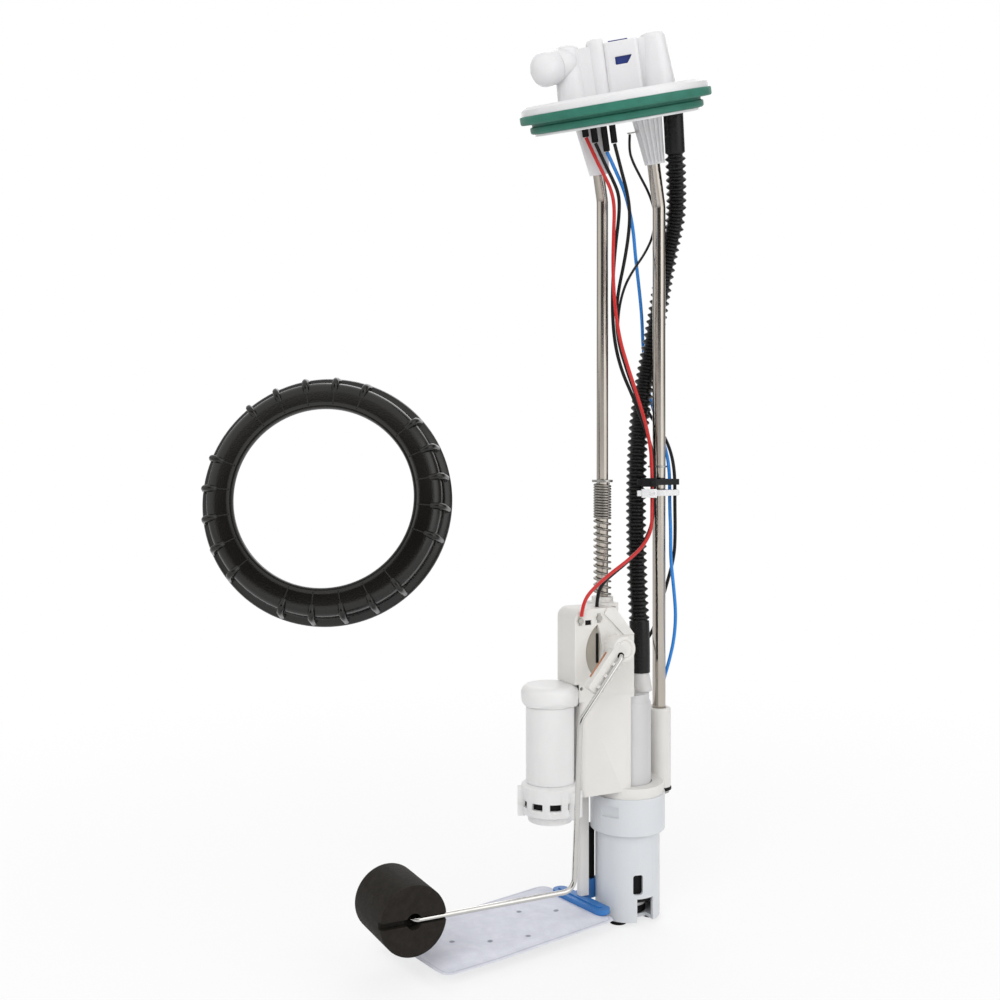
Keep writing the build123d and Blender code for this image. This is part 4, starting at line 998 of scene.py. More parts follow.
@dataclass
class HeadAssembly:
    """The head with its gasket, plug socket, cap, boots and nipple."""

    gasket_r: float = 57.0
    neck_r: float = 51.75
    bore_r: float = 46.2
    spigot_at: Point = (-24.0, -4.0, 32.5)
    spigot_turn: float = 215.0
    spigot_drop: float = 7.0
    spigot_r: float = 4.75
    cap_r: float = 10.0
    cap_start: float = 8.8
    cap_l: float = 15.4
    cap_bore: tuple[float, float] = (4.76, 10.4)
    cap_gap: float = 0.25
    dome: float = 7.6
    edge_at: tuple[float, float] = (6.6, -6.0)
    edge_size: tuple[float, float, float] = (11.4, 0.9, 0.3)
    edge_heights: tuple[float, float] = (34.0, 40.3)
    right_foot: tuple[float, float] = RIGHT_FOOT
    socket_w: tuple[float, float] = (21.0, 12.0)
    flute_at: Point = (-1.4, -7.5, 3.5)
    flute_run: Point = (2.1, 1.5, -37.5)
    flute_r: float = 0.75
    flute_shares: tuple[float, ...] = (-0.30, -0.12, 0.06, 0.24, 0.38)

    def gasket(self) -> None:
        """Turn the two-step gasket with its groove and rolled edges."""
        r, n = self.gasket_r, self.neck_r
        profile = [(self.bore_r, -4.9), (n - 1.4, -4.9), (n - 0.7, -4.6), (n - 0.1, -4.0), (n, -3.4),
                   (n, -1.5), (n - 0.2, -1.0), (n - 0.8, -0.85), (n - 1.3, -0.6), (n - 1.4, 0.3),
                   (n - 1.3, 0.75), (n + 3.0, 0.9), (r - 1.6, 0.95), (r - 0.6, 1.1), (r - 0.1, 1.7),
                   (r, 2.3), (r, 5.2), (r - 0.3, 5.8), (r - 0.9, 6.0), (self.bore_r, 6.0)]
        finished("gasket_turned", lathe(profile, HEAD.matrix(), 160), GASKET_GREEN, Body.FLANGE,
                 "flange_gasket")

    def outlet(self) -> None:
        """Turn the outlet's rounded elbow and the blunt, hollow cap that closes it."""
        aim, drop = math.radians(self.spigot_turn), math.radians(self.spigot_drop)
        out = Vector((math.cos(aim) * math.cos(drop), math.sin(aim) * math.cos(drop),
                      -math.sin(drop)))
        across = out.cross(Vector((0, 0, 1))).normalized()
        place = HEAD.matrix() @ placed(across, out.cross(across), out, self.spigot_at)
        start, end, r = self.cap_start, self.cap_start + self.cap_l, self.cap_r
        bore_r, bore_l = self.cap_bore
        dome = [(r * math.cos(t), end - self.dome + self.dome * math.sin(t))
                for t in (math.pi / 2 * i / 14 for i in range(15))]
        cap = [(0, start + bore_l), (bore_r, start + bore_l), (bore_r, start), (r - 0.5, start),
               (r, start + 0.5), *dome[:-1], (0, end)]
        finished("port_cap_turned", lathe(cap, place, 96, closed=False), WHITE_HEAD, Body.CAP,
                 "port_cap")
        face = start - self.cap_gap
        bend = [(0, -5.5), (3.5, -5.2), (6.4, -3.6), (8.2, -0.6), (9.0, 3.0), (9.2, start - 0.6),
                (8.8, face), (self.spigot_r, face), (self.spigot_r, 0), (0, 0)]
        finished("outlet_elbow", lathe(bend, place, 96, closed=False), WHITE_HEAD, Body.FLANGE)

    def lock_edge(self) -> None:
        """The lock's front edge, which shows as a thin line over the plug socket's mouth."""
        edge = plate(rounded(*self.edge_at, *self.edge_size, 2), *self.edge_heights, HEAD.matrix())
        finished("connector_lock_edge", edge, LOCK_BLUE, Body.FLANGE, bevel=0.00012, angle=35.0)

    def flutes(self) -> None:
        """Upright flutes on the front of the right rod's socket."""
        foot = Vector((*self.right_foot, 0.0)) + Vector(self.flute_at)
        wide, narrow = self.socket_w
        runs = []
        for share in self.flute_shares:
            run = [foot + Vector(self.flute_run) * t
                   + Vector((share * (wide + (narrow - wide) * t), 0.0, 0.0))
                   for t in (0.10, 0.3, 0.55, 0.8, 0.97)]
            runs.append(([HEAD.at(*spot) for spot in run], 1.0))
        piece = grown("rod_socket_flutes", smooth_line("flute_lines", *runs), tube_tree(),
                      WHITE_HEAD, {"Radius": self.flute_r * MM, "Sides": 10})
        hand_over(piece, Body.FLANGE)

    def build(self) -> None:
        """Make every piece of the head."""
        dress("flange_head", WHITE_HEAD, Body.FLANGE, 0.0006, 30)
        dress("plug_shell", WHITE_HEAD, Body.FLANGE, 0.0005, 30)
        dress("head_nipple", WHITE_HEAD, Body.FLANGE)
        self.gasket()
        dress("connector_lock", LOCK_BLUE, Body.FLANGE)
        dress("connector_terminals", TINNED, Body.FLANGE, 0.00015)
        self.outlet()
        self.lock_edge()
        self.flutes()
        dress("earth_tab", CLIP_STEEL, Body.FLANGE, 0.00015)
        dress("wire_boots", BLACK_RUBBER_AND_SHADE, Body.FLANGE, 0.0004)


@dataclass
class RodAssembly:
    """The guide rods with their clips, the spring, the earth clip and the cable ties."""

    left_at: tuple[float, float] = (-1.7, 12.1)
    spring_top: float = -220.9
    spring_end: float = -289.2
    close_turns: float = 13.0
    close_pitch: float = 1.6
    open_turns: float = 12.0
    wire_r: float = 0.7
    coil_r: float = 4.8
    right_at: tuple[float, float] = (38.5, 10.7)
    right_r: float = 4.45
    lead_r: float = 1.5
    leads: tuple[tuple[float, float], ...] = ((28.5, 3.6), (31.8, 6.0), (44.9, 8.5), (46.2, 4.8))
    band: float = 1.2
    band_w: float = 3.6
    band_play: float = 0.05
    black_tie_top: float = -219.0
    white_tie_top: float = -225.6
    tie_head_at: tuple[float, float] = (23.4, -0.7)
    tie_head_turn: float = -27.0
    # The head's box, its tail and its window: outline, corner steps and reach over the band
    tie_head: tuple[tuple[tuple[float, ...], int, float], ...] = (
        ((0.0, 0.0, 9.4, 4.0, 0.8), 3, 0.8), ((-2.4, 0.0, 9.6, 2.6, 0.9), 3, -0.1),
        ((1.6, -2.0, 3.2, 0.7, 0.2), 2, -1.0))
    travel: float = 30.0

    def loop(self, grow: float) -> list[tuple[float, float]]:
        """The line of a tie pulled tight round the rod and the leads, in mm."""
        spots = []
        for (x, y), r in ((self.right_at, self.right_r), *((at, self.lead_r) for at in self.leads)):
            spots += [(x + (r + grow) * math.cos(math.radians(a)),
                       y + (r + grow) * math.sin(math.radians(a))) for a in range(0, 360, 12)]
        return [spots[i] for i in convex_hull_2d(spots)]

    def tie(self, node: str, top: float, finish: Finish) -> None:
        """Make a cable tie: its band, its head with the pawl's window and its cut tail.

        Args:
            node: The tie's CAD node.
            top: The height of the band's upper edge, in mm.
            finish: Its finish.
        """
        plain, low = Matrix.Identity(4), top - self.band_w
        band = plate(self.loop(self.band), low, top, plain)
        hollow = plate(self.loop(self.band_play), low - 1, top + 1, plain)
        holder = new_piece(node + "_tied", band, finish)
        cutter = new_piece("tie_cutter", hollow, finish)
        cut = holder.modifiers.new("cut", "BOOLEAN")
        cut.operation = "DIFFERENCE"
        cut.object = cutter
        applied(holder)
        bpy.data.objects.remove(cutter)
        turn = shift(*self.tie_head_at) @ Matrix.Rotation(math.radians(self.tie_head_turn), 4, "Z")
        head = [plate(rounded(*outline, steps), low - reach, top + reach, turn)
                for outline, steps, reach in self.tie_head]
        holder.data = joined([holder.data, *head])
        holder.data.materials.append(finish.material())
        soften(holder, 0.0003, 40)
        hand_over(holder, Body.FLANGE, node)

    def spring(self) -> None:
        """Wind the return spring as one fixed coil; the real spring shortens as the carrier slides
        up.
        """
        first = self.spring_top - self.wire_r
        open_h = first - self.close_turns * self.close_pitch - (self.spring_end + self.wire_r)
        piece = grown("return_spring_coil", bpy.data.meshes.new("seed"), coil_tree(), SPRING_STEEL, {
            "Close turns": self.close_turns, "Open turns": self.open_turns,
            "Close pitch": self.close_pitch * MM, "Open pitch": open_h / self.open_turns * MM,
            "Coil radius": self.coil_r * MM, "Wire radius": self.wire_r * MM,
            "Centre": (self.left_at[0] * MM, self.left_at[1] * MM, first * MM)})
        hand_over(piece, Body.FLANGE, "return_spring")
        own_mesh(piece)

    def build(self) -> None:
        """Make every piece on the rods."""
        for side in ("left", "right"):
            dress("guide_rod_" + side, ROD_STEEL, Body.FLANGE, 0.0002)
            dress(side + "_rod_clip", CLIP_STEEL, Body.FLANGE, 0.0002)
        self.spring()
        dress("earth_clip", CLIP_STEEL, Body.FLANGE, 0.00015)
        self.tie("cable_tie_black", self.black_tie_top, TIE_BLACK)
        self.tie("cable_tie_white", self.white_tie_top, WHITE_HEAD)


@dataclass
class CarrierAssembly:
    """The moulded carrier with its sleeve and bumper."""

    def build(self) -> None:
        """Make every piece of the carrier."""
        dress_all(Body.CARRIER, ("carrier_body", WHITE_BODY, 0.0007),
                  ("guide_sleeve", WHITE_BODY, 0.0004), ("sleeve_bumper", BLACK_RUBBER_AND_SHADE, 0.0003))


@dataclass
class SenderAssembly:
    """The level sender's housing, card, contacts and cover, and a black plate of painted shade where
    a hole shows.
    """

    # Place, size and thickness of the black plate of painted shade at the hole
    hole_shade_at: tuple[float, float] = (-28.0, -300.3)
    hole_shade_size: tuple[float, float, float] = (4.0, 2.6, 0.3)
    hole_shade_depth: tuple[float, float] = (13.6, 14.2)

    def build(self) -> None:
        """Make every piece of the sender."""
        dress_all(Body.CARRIER, ("sender_housing", WARM_WHITE, 0.0006),
                  ("resistor_card", CARD_GREY, 0.0001), ("contact_strip", BLACK_RUBBER_AND_SHADE, 0.0001),
                  ("sender_terminals", TINNED, 0.0002), ("sender_cover", WARM_WHITE, 0.0003),
                  ("pivot_pin", CLIP_STEEL, 0.0002))
        # A thin black plate facing the front is painted shade for the hole's dark inside
        facing = placed(Vector((1, 0, 0)), Vector((0, 0, 1)), Vector((0, -1, 0)))
        shade = plate(rounded(*self.hole_shade_at, *self.hole_shade_size, 2), *self.hole_shade_depth, facing)
        hand_over(new_piece("sender_hole_shade", shade, BLACK_RUBBER_AND_SHADE), Body.CARRIER)


@dataclass
class PumpAssembly:
    """The pump with its neck, cup, collar, feet and suction tube."""

    at: tuple[float, float] = (9.0, 1.0)
    jacket: tuple[tuple[float, float], ...] = (
        (14.3, -467.0), (16.2, -467.0), (16.4, -466.4), (16.4, -432.0), (16.0, -431.4),
        (14.3, -431.4))

    def build(self) -> None:
        """Make every piece of the pump."""
        dress_all(Body.CARRIER, ("pump_motor", PUMP_GREY, 0.0003),
                  ("pump_neck", NECK_PLASTIC, 0.0003), ("pump_terminals", TINNED, 0.00015),
                  ("pump_damper", BLACK_RUBBER_AND_SHADE, 0.0003), ("pump_cup", COOL_WHITE, 0.0006),
                  ("cup_collar", COOL_WHITE, 0.0006), ("cup_feet", BLACK_RUBBER_AND_SHADE, 0.0006),
                  ("suction_tube", BLACK_RUBBER_AND_SHADE, 0.0003))
        jacket = lathe(self.jacket, shift(*self.at), 96)
        hand_over(new_piece("pump_jacket", jacket, BLACK_RUBBER_AND_SHADE), Body.CARRIER)


@dataclass
class StrainerAssembly:
    """The strainer's frame and its felt bag, welded round its edge and at a few dots."""

    corner: Point = (-12.2, -23.0, -469.6)
    turn: float = 188.5
    length: float = 119.0
    width: float = 69.5
    corner_r: float = 8.0
    near_middle: float = -1.5
    middle: float = -4.2
    crown: float = 2.0
    seam_w: float = 3.2
    seam_t: float = 0.45
    dot_r: float = 1.5
    dot_edge: float = 0.5
    held_from: float = 0.2
    start_lift: float = 0.35
    cells: tuple[int, int] = (60, 36)
    dots: tuple[tuple[float, float], ...] = (
        (38.7, 44.4), (21.1, 31.8), (54.4, 14.6), (74.8, 22.5), (91.9, 34.7))
    neck_at: tuple[float, float] = (-9.5, 16.2)
    neck_r: float = 4.3
    neck_outer: float = 5.4
    pressure: float = 4.0
    frames: int = 20
    # A band of painted crease shade just inside the seam: its distance from the edge in mm, and how
    # dark it is
    crease_shade: tuple[float, float] = (2.2, 2.9)
    crease_shade_tone: float = 0.35
    drop_from: float = 9.0
    drop_l: float = 74.0
    bar: tuple[float, float, float, float, float] = (3.0, 31.0, 10.0, 47.0, 4.6)
    bar_heights: tuple[float, float] = (-0.4, 2.5)
    rib: tuple[float, float, float, float, float] = (3.0, 32.0, 3.6, 39.0, 1.7)
    rib_heights: tuple[float, float] = (2.4, 3.3)
    strip_w: float = 7.4
    strip_heights: tuple[float, float] = (-0.3, 2.6)
    collar_heights: tuple[float, float] = (-0.4, 10.8)

    def matrix(self) -> Matrix:
        """The strainer's place: x along the bag, y away from the front, z up, in metres."""
        angle = math.radians(self.turn)
        along = Vector((math.cos(angle), math.sin(angle), 0))
        back = Vector((math.sin(angle), -math.cos(angle), 0))
        return placed(along, back, Vector((0, 0, 1)), self.corner)

    def spot(self, i: int, j: int) -> tuple[float, float]:
        """A grid point, drawn in round at the bag's corners, in mm."""
        x, y = self.length * i / self.cells[0], self.width * j / self.cells[1]
        r = self.corner_r
        dx = max(r - x, 0.0) - max(x - self.length + r, 0.0)
        dy = max(r - y, 0.0) - max(y - self.width + r, 0.0)
        a, b = abs(dx) / r, abs(dy) / r
        x += math.copysign(r * (a - a * math.sqrt(1 - b * b / 2)), dx) if dx and dy else 0.0
        y += math.copysign(r * (b - b * math.sqrt(1 - a * a / 2)), dy) if dx and dy else 0.0
        return (x, y)

    def edge_gap(self, x: float, y: float) -> float:
        """How far a point lies inside the bag's outline, in mm."""
        r = self.corner_r
        dx, dy = min(x, self.length - x), min(y, self.width - y)
        if dx < r and dy < r:
            return r - math.hypot(r - dx, r - dy)
        return min(dx, dy)

    def pressed(self, x: float, y: float) -> float:
        """How hard the felt is pressed at a point, from 0 to 1, at the dots."""
        near = min(math.hypot(x - u, y - v) for u, v in self.dots)
        return max(0.0, min(1.0, (self.dot_r - near) / self.dot_edge + 0.5))

    def sheet(self) -> bpy.types.Object:
        """Two felt sheets that share their welded edge, lying flat.

        Returns:
            The bag before it swells, with its welds in the vertex group named welded.
        """
        shape = bmesh.new()
        nx, ny = self.cells
        layers = []
        held = []
        for side in (1.0, -1.0):
            layer = {}
            for i in range(nx + 1):
                for j in range(ny + 1):
                    rim = i in (0, nx) or j in (0, ny)
                    if rim and layers:
                        layer[i, j] = layers[0][i, j]
                        continue
                    x, y = self.spot(i, j)
                    gap = self.edge_gap(x, y)
                    rise = self.start_lift * min(1.0, max(0.0, gap - self.seam_w))
                    press = self.pressed(x, y)
                    lift = 0.0 if rim else self.seam_t + rise
                    if press > 0.5:
                        lift = self.seam_t
                    vertex = shape.verts.new(Vector((x, y, side * lift)) * MM)
                    layer[i, j] = vertex
                    if gap < self.seam_w or press > self.held_from:
                        held.append(vertex)
            layers.append(layer)
            for i in range(nx):
                for j in range(ny):
                    shape.faces.new((layer[i, j], layer[i + 1, j], layer[i + 1, j + 1],
                                     layer[i, j + 1]))
        shape.verts.index_update()
        keep = [vertex.index for vertex in held]
        bmesh.ops.recalc_face_normals(shape, faces=shape.faces)
        piece = new_piece("strainer_bag", mesh_from(shape, "felt_bag"), FELT)
        piece.vertex_groups.new(name="welded").add(keep, 1.0, "REPLACE")
        return piece

    def swell(self, piece: bpy.types.Object) -> None:
        """Let pressure swell the bag between its welds, then scale that to the guessed crown.

        Args:
            piece: The flat bag, whose mesh is changed.
        """
        flat = [vertex.co.copy() for vertex in piece.data.vertices]
        cloth = piece.modifiers.new("swell", "CLOTH")
        cloth.settings.use_pressure = True
        cloth.settings.uniform_pressure_force = self.pressure
        cloth.settings.effector_weights.gravity = 0.0
        cloth.settings.vertex_group_mass = "welded"
        cloth.point_cache.frame_end = self.frames
        for step in range(1, self.frames + 1):
            bpy.context.scene.frame_set(step)
        applied(piece)
        moves = [vertex.co - old for vertex, old in zip(piece.data.vertices, flat)]
        most = max(abs(move.z) for move in moves)
        scale = self.crown * MM / most
        for vertex, old, move in zip(piece.data.vertices, flat, moves):
            vertex.co = old + Vector((0, 0, move.z * scale))
        bpy.context.scene.frame_set(1)
        LOG.info("strainer bag swelled by %.2f mm, kept %.2f mm", most / MM, self.crown)

    def bag(self) -> None:
        piece = self.sheet()
        self.swell(piece)
        smooth = piece.modifiers.new("smooth", "SUBSURF")
        smooth.levels = smooth.render_levels = 2
        applied(piece)
        mesh = piece.data
        # Each point's mark: grey where pressed at the dots, and painted crease shade in a band just
        # inside the seam
        marks = mesh.attributes.new("weld_and_crease_shade", "FLOAT", "POINT")
        for mark, vertex in zip(marks.data, mesh.vertices):
            x, y = vertex.co.x / MM, vertex.co.y / MM
            crease_shade = self.crease_shade_tone if self.crease_shade[0] < self.edge_gap(x, y) < self.crease_shade[1] else 0.0
            mark.value = max(self.pressed(x, y), crease_shade)
            drop = min(1.0, max(0.0, (x - self.drop_from) / self.drop_l))
            vertex.co.z += (self.near_middle + (self.middle - self.near_middle) * drop) * MM
        mesh.shade_smooth()
        mesh.transform(self.matrix())
        mesh.flip_normals()
        hand_over(piece, Body.CARRIER, "strainer_sock")

    def frame_bar(self) -> None:
        """The moulded frame: a flat bar on the bag's end, its neck and the tube's collar."""
        place = self.matrix()
        neck = place.inverted() @ Vector((self.neck_at[0] * MM, self.neck_at[1] * MM, 0))
        nx, ny = neck.x / MM, neck.y / MM
        inner, outer, (low, top) = self.neck_r, self.neck_outer, self.collar_heights
        collar = lathe([(inner, low), (outer, low), (outer, top - 0.8), (outer - 0.5, top),
                        (inner, top)], place @ shift(nx, ny), 48)
        bar = plate(rounded(*self.bar, 8), *self.bar_heights, place)
        rib = plate(rounded(*self.rib, 6), *self.rib_heights, place)
        strip = plate(rounded((nx + 3) / 2, ny, abs(nx) + 6, self.strip_w, 1.5, 4),
                      *self.strip_heights, place)
        finished("strainer_frame_moulded", joined([bar, rib, strip, collar]), FRAME_BLUE,
                 Body.CARRIER, "strainer_frame", bevel=0.0006, angle=40.0, segments=3)

    def build(self) -> None:
        """Make the frame and the bag."""
        self.frame_bar()
        self.bag()


@dataclass
class FilterAssembly:
    """The filter canister with its lid, base and seal."""

    at: tuple[float, float] = (-47.0, -4.0)
    lid_r: float = 16.7
    lid_top: float = -335.6
    lid_end: float = -347.5
    lid_round: float = 4.6
    waves: int = 3
    wave_h: float = 0.9
    wave_turn: float = 0.8

    def lid(self) -> None:
        """Turn the lid: a flat crown, a round shoulder and a waved lower rim."""
        r, t, e, bend = self.lid_r, self.lid_top, self.lid_end, self.lid_round
        shoulder = [(r - bend * (1 - math.sin(a)), t - bend * (1 - math.cos(a)))
                    for a in (math.pi / 2 * i / 10 for i in range(11))]
        profile = [(0, t), (7, t), *shoulder, (r, t - 7.2), (r - 0.3, t - 8.6), (r - 0.4, e + 1.2),
                   (r - 0.9, e + 0.3), (r - 2.3, e), (0, e)]
        mesh = lathe(profile, shift(*self.at), 128, closed=False)
        for vertex in mesh.vertices:
            x, y = vertex.co.x - self.at[0] * MM, vertex.co.y - self.at[1] * MM
            if vertex.co.z < (e + 1.5) * MM and math.hypot(x, y) > (r - 1.2) * MM:
                wave = math.sin(self.waves * math.atan2(y, x) + self.wave_turn)
                vertex.co.z += self.wave_h * (1.0 + wave) * MM
        finished("filter_lid_turned", mesh, MILK_WHITE, Body.CARRIER, "filter_cap")

    def build(self) -> None:
        """Make every piece of the filter."""
        self.lid()
        dress_all(Body.CARRIER, ("filter_canister", MILK_WHITE, 0.0004),
                  ("filter_base", MILK_WHITE, 0.0005), ("filter_seal", BLACK_RUBBER_AND_SHADE, 0.0003))


@dataclass
class FloatAssembly:
    """The float arm: hub, wiper, wire and float."""

    pivot: Point = (-13.1, -30.5, -314.7)
    heading: float = -129.4
    hub_r: float = 7.6
    hub_t: float = 9.5
    bar_at: tuple[float, float] = (14.8, -2.2)
    bar_size: tuple[float, float, float] = (31.4, 8.4, 5.0)
    bar_corner: float = 1.6
    clips: tuple[float, ...] = (11.0, 19.0, 26.5)
    jaw_size: tuple[float, float, float] = (2.0, 0.8, 0.3)
    jaw_y: float = 1.95
    jaw_h: float = 2.2
    wire_at: float = 4.4
    wiper_at: tuple[float, float] = (15.5, -6.65)
    wiper_size: tuple[float, float, float] = (17.0, 0.5, 0.2)
    wiper_heights: tuple[float, float] = (-5.0, -4.1)
    # The black disc of painted shade at the wire's hole: its radius and thickness
    hole_r: float = 2.2
    hole_shade_depth: float = 0.6

    def matrix(self) -> Matrix:
        """The arm's place: x along the wire, y across it, z out of the hub's front, in metres."""
        angle = math.radians(self.heading)
        along = Vector((math.cos(angle), 0, math.sin(angle)))
        out = Vector((0, -1, 0))
        return placed(along, out.cross(along), out, self.pivot)

    def hub(self) -> None:
        """The stepped hub, its bar, the jaws that hold the wire, and a black disc of painted shade at
        the wire's hole.
        """
        place, r = self.matrix(), self.hub_r
        wheel = lathe([(0, -self.hub_t), (r, -self.hub_t), (r, -0.9), (r - 0.5, -0.3), (5.6, -0.3),
                       (5.3, -0.75), (4.7, -0.75), (4.4, -0.05), (0, -0.05)], place, 96,
                      closed=False)
        length, width, depth = self.bar_size
        bar = plate(rounded(*self.bar_at, length, width, self.bar_corner), -depth, -0.1, place)
        jaws = [plate(rounded(x, side * self.jaw_y, *self.jaw_size, 3), -0.3, self.jaw_h, place)
                for x in self.clips for side in (-1, 1)]
        finished("pivot_hub_moulded", joined([wheel, bar, *jaws]), WARM_WHITE, Body.ARM,
                 "pivot_hub", bevel=0.0002, angle=40.0)
        # A thin black disc is painted shade for the dark hole where the wire goes in
        deep, wide = self.hole_shade_depth, self.hole_r
        hole_shade_disc = lathe([(0, -deep), (wide, -deep), (wide, 0.0), (0, 0.0)],
                     place @ shift(self.wire_at, 0), 40, closed=False)
        hand_over(new_piece("wire_hole_shade", hole_shade_disc, BLACK_RUBBER_AND_SHADE), Body.ARM)

    def wiper(self) -> None:
        """The copper strip along the bar's upper edge."""
        strip = plate(rounded(*self.wiper_at, *self.wiper_size, 2), *self.wiper_heights,
                      self.matrix())
        finished("wiper_strip", strip, COPPER, Body.ARM, "wiper_contact", angle=40.0)

    def build(self) -> None:
        """Make every piece of the arm."""
        self.hub()
        self.wiper()
        dress("float_rod", WIRE_STEEL, Body.ARM, 0.0002)
        dress("float", FLOAT_BLACK, Body.ARM, 0.0006)


@dataclass
class RingAssembly:
    """The lock ring that stands beside the module, with its groups of wrench ribs."""

    at: Point = (-159.6, 57.7, -230.8)
    heading: float = 243.0
    tilt: float = 10.0
    bore_r: float = 61.5
    hole_r: float = 51.0
    rim_r: float = 72.0
    shoulder_r: float = 66.8
    height: float = 20.0
    groups: int = 4
    ribs: int = 5
    pitch: float = 15.0
    first: float = 70.5
    lug_r: float = 1.9
    line_r: float = 0.4

    def matrix(self) -> Matrix:
        """The ring's place and axes as a 4x4 matrix in metres."""
        heading, tilt = math.radians(self.heading), math.radians(self.tilt)
        out = Vector((math.cos(heading) * math.cos(tilt), math.sin(heading) * math.cos(tilt),
                      math.sin(tilt)))
        across = Vector((-math.sin(heading), math.cos(heading), 0.0))
        return placed(across, out.cross(across), out, self.at)

    def shell(self) -> None:
        """Turn the ring: rim, wall, rolled shoulder, sloping top and thin inner lip."""
        s, h, i = self.shoulder_r, self.height, self.hole_r
        profile = [(self.bore_r, 0), (self.rim_r, 0), (self.rim_r, 2.0), (self.rim_r - 0.6, 2.8),
                   (s + 1.6, 3.4), (s + 0.5, 4.4), (s + 0.2, 6.0), (s, h - 5.6), (s - 0.5, h - 4.0),
                   (s - 1.4, h - 2.7), (s - 2.7, h - 1.7), (s - 4.4, h - 1.05), (s - 6.4, h - 0.75),
                   (i + 4.0, h - 0.55),
                   (i + 2.4, h - 0.5), (i + 2.0, h - 0.15), (i + 1.2, h), (i + 0.4, h - 0.35),
                   (i, h - 1.2), (i, h - 4.0), (self.bore_r, h - 4.0)]
        finished("lock_ring_shell", lathe(profile, self.matrix(), 180), RING_BLACK, Body.RING,
                 "lock_ring", angle=40.0)

    def lug_lines(self) -> bpy.types.Curve:
        """The runs of one rib: its lug over the shoulder and its thin line over the top."""
        s, h = self.shoulder_r, self.height
        lug = [(s - 5.6, h - 2.3), (s - 3.4, h - 1.0), (s - 1.0, h - 1.2), (s + 0.9, h - 3.0),
               (s + 1.8, h - 6.5), (s + 2.4, h - 11.0), (s + 3.0, 5.0)]
        line = [(self.hole_r + 2.6, h - 0.55), (s - 9.0, h - 0.65), (s - 4.5, h - 0.75)]
        return smooth_line("rib_lines", *(([(r, 0.0, z) for r, z in run], radius) for run, radius
                                          in ((lug, self.lug_r), (line, self.line_r))))

    def build(self) -> None:
        """Make the ring and its ribs."""
        self.shell()
        ribs = grown("lock_ring_ribs", self.lug_lines(), rib_tree(), RING_BLACK, {
            "Groups": self.groups, "Ribs": self.ribs, "First": math.radians(self.first),
            "Pitch": math.radians(self.pitch)})
        ribs.data.transform(self.matrix())
        hand_over(ribs, Body.RING)


# Studio


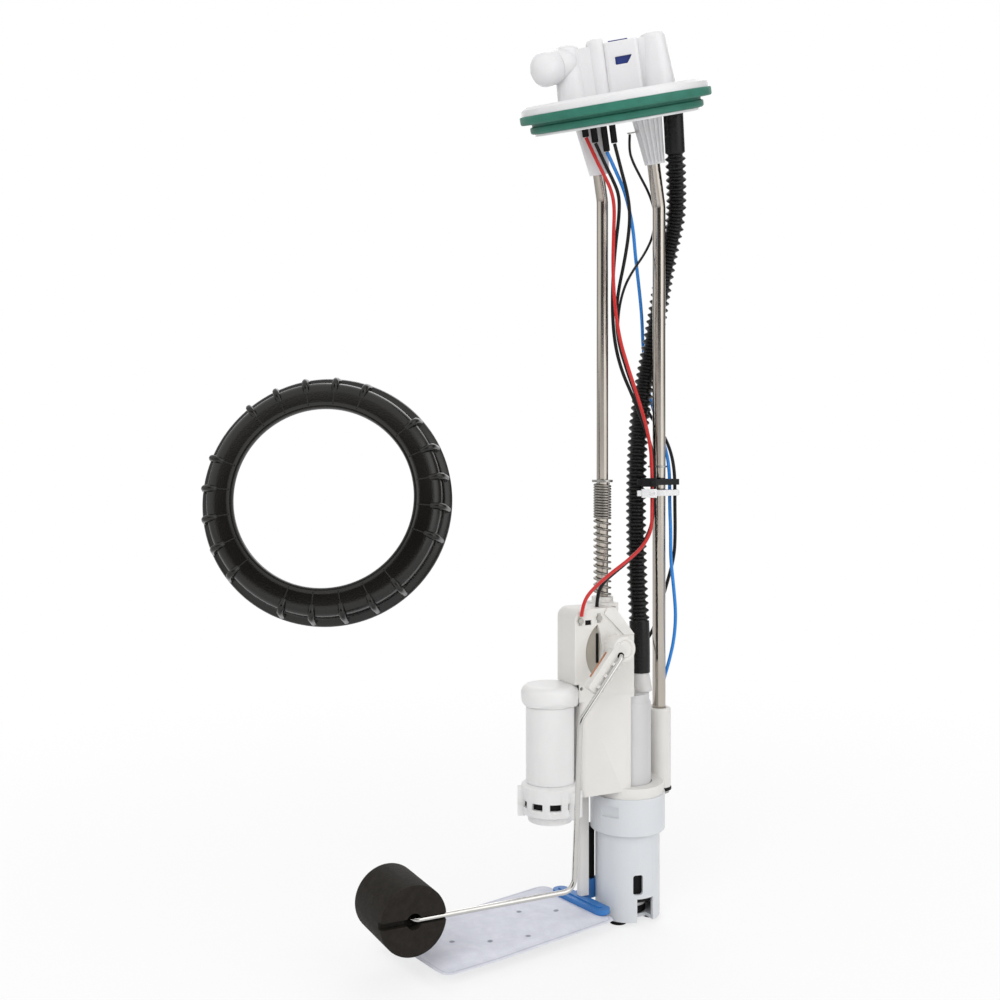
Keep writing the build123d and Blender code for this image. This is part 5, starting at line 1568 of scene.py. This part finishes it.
@dataclass
class Studio:
    """Camera, lights, floor and backdrop."""

    camera_at: Point = (-385.97, -605.8, -200.0)
    look: Point = (0.454, 0.891, 0.0)
    lens: float = 43.2
    shift: float = -0.052
    floor_z: float = -480.2
    floor_tone: float = 0.93
    glow_from: tuple[float, float] = (0.2, 0.9)
    glow_least: float = 0.55
    room_light: float = 0.66
    zones: tuple[tuple[float, float, float, float], ...] = (
        (345.0, 26.0, 52.0, 0.8), (118.0, 14.0, 34.0, 0.6), (238.0, 22.0, 40.0, 0.94))

    def camera(self) -> None:
        """Put the camera at the photograph's place, level, with its shift."""
        data = bpy.data.cameras.new("camera")
        data.lens = self.lens
        data.sensor_width = 36.0
        data.shift_y = self.shift
        data.clip_end = 50.0
        data.dof.use_dof = False
        camera = linked("camera", data)
        camera.location = Vector(self.camera_at) * MM
        camera.rotation_euler = Vector(self.look).to_track_quat("-Z", "Y").to_euler()
        bpy.context.scene.camera = camera

    def lamp(self, name: str, at: Point, size: float, power: float, gloss: bool = True) -> None:
        """Hang a soft square light that aims at the module.

        Args:
            name: The light's name.
            at: Its place in mm.
            size: Its width in metres.
            power: Its power in watts.
            gloss: Whether gloss and metal show it.
        """
        data = bpy.data.lights.new(name, "AREA")
        data.shape = "SQUARE"
        data.size = size
        data.energy = power
        light = linked(name, data)
        light.location = Vector(at) * MM
        light.visible_glossy = gloss
        aim = Vector((-20, 0, -250)) * MM - light.location
        light.rotation_euler = aim.to_track_quat("-Z", "Y").to_euler()

    def zone(self, canvas: Canvas, azimuth: float, inner: float, outer: float,
             depth: float) -> bpy.types.NodeSocket:
        """A soft upright grey zone of the room, as a factor of its brightness.

        Args:
            canvas: The world's canvas.
            azimuth: Where its middle lies, in degrees from +X.
            inner: Half its full-depth width, in degrees.
            outer: Half its whole width, in degrees.
            depth: How much light it takes away, from 0 to 1.

        Returns:
            The factor's socket.
        """
        angle = math.radians(azimuth)
        toward = canvas.add("VectorMath", canvas.add("TexCoord").outputs["Generated"],
                            (math.cos(angle), math.sin(angle), 0.0), operation="DOT_PRODUCT")
        factor = canvas.add("MapRange", toward.outputs["Value"], interpolation_type="SMOOTHSTEP",
                            From_Min=math.cos(math.radians(outer)),
                            From_Max=math.cos(math.radians(inner)), To_Min=1.0, To_Max=1.0 - depth)
        return factor.outputs["Result"]

    def world(self) -> None:
        """Light all round from a pale room, with grey zones that only gloss shows."""
        world = bpy.data.worlds.new("studio")
        bpy.context.scene.world = world
        world.use_nodes = True
        canvas = Canvas(world.node_tree)
        back = world.node_tree.nodes["Background"]
        back.inputs["Color"].default_value = (1, 1, 1, 1)
        path = canvas.add("LightPath").outputs
        seen = canvas.maths("MAXIMUM", path["Is Camera Ray"], path["Is Transmission Ray"])
        gloss = 1.0
        for zone in self.zones:
            gloss = canvas.maths("MULTIPLY", gloss, self.zone(canvas, *zone))
        glossy = canvas.mixed("FLOAT", path["Is Glossy Ray"], self.room_light, gloss)
        canvas.feed(back.inputs["Strength"], canvas.mixed("FLOAT", seen, glossy, 1.0))

    def floor(self) -> None:
        """Lay a plain pale floor under the module."""
        mesh = bpy.data.meshes.new("floor")
        half, z = 12.0, self.floor_z * MM
        mesh.from_pydata([(-half, -half, z), (half, -half, z), (half, half, z), (-half, half, z)],
                         [], [(0, 1, 2, 3)])
        floor = linked("floor", mesh)
        made = bpy.data.materials.new("studio_floor")
        made.use_nodes = True
        canvas = Canvas(made.node_tree)
        shader = made.node_tree.nodes["Principled BSDF"]
        shader.inputs["Base Color"].default_value = rgba((self.floor_tone,) * 3)
        shader.inputs["Roughness"].default_value = 0.9
        shader.inputs["Specular IOR Level"].default_value = 0.0
        glow = canvas.add("Emission", Strength=1.0)
        far = canvas.add("VectorMath", canvas.add("TexCoord").outputs["Object"], operation="LENGTH")
        near_m, far_m = self.glow_from
        fade = canvas.add("MapRange", far.outputs["Value"], interpolation_type="SMOOTHSTEP",
                          From_Min=near_m, From_Max=far_m, To_Min=self.glow_least)
        seen = canvas.maths("MULTIPLY", canvas.add("LightPath").outputs["Is Camera Ray"],
                            fade.outputs["Result"])
        mix = canvas.add("MixShader", seen, shader.outputs[0], glow.outputs[0])
        canvas.feed(made.node_tree.nodes["Material Output"].inputs["Surface"], mix.outputs[0])
        mesh.materials.append(made)

    def build(self) -> None:
        """Set the whole studio."""
        bpy.context.scene.view_settings.view_transform = "Standard"
        self.camera()
        self.world()
        self.floor()
        self.lamp("key", (-900, -900, 500), 0.9, 7.0, gloss=False)
        self.lamp("fill", (500, -1000, 100), 1.2, 3.5)
        self.lamp("rim", (600, 900, 700), 1.0, 4.0)


def main() -> None:
    """Build the studio and the module."""
    logging.basicConfig(level=logging.INFO, format="%(message)s")
    Studio().build()
    Harness().build()
    for part in (HeadAssembly(), RodAssembly(), CarrierAssembly(), SenderAssembly(), PumpAssembly(),
                 StrainerAssembly(), FilterAssembly(), FloatAssembly(), RingAssembly()):
        part.build()
    bpy.context.view_layer.update()


if __name__ == "__main__":
    main()
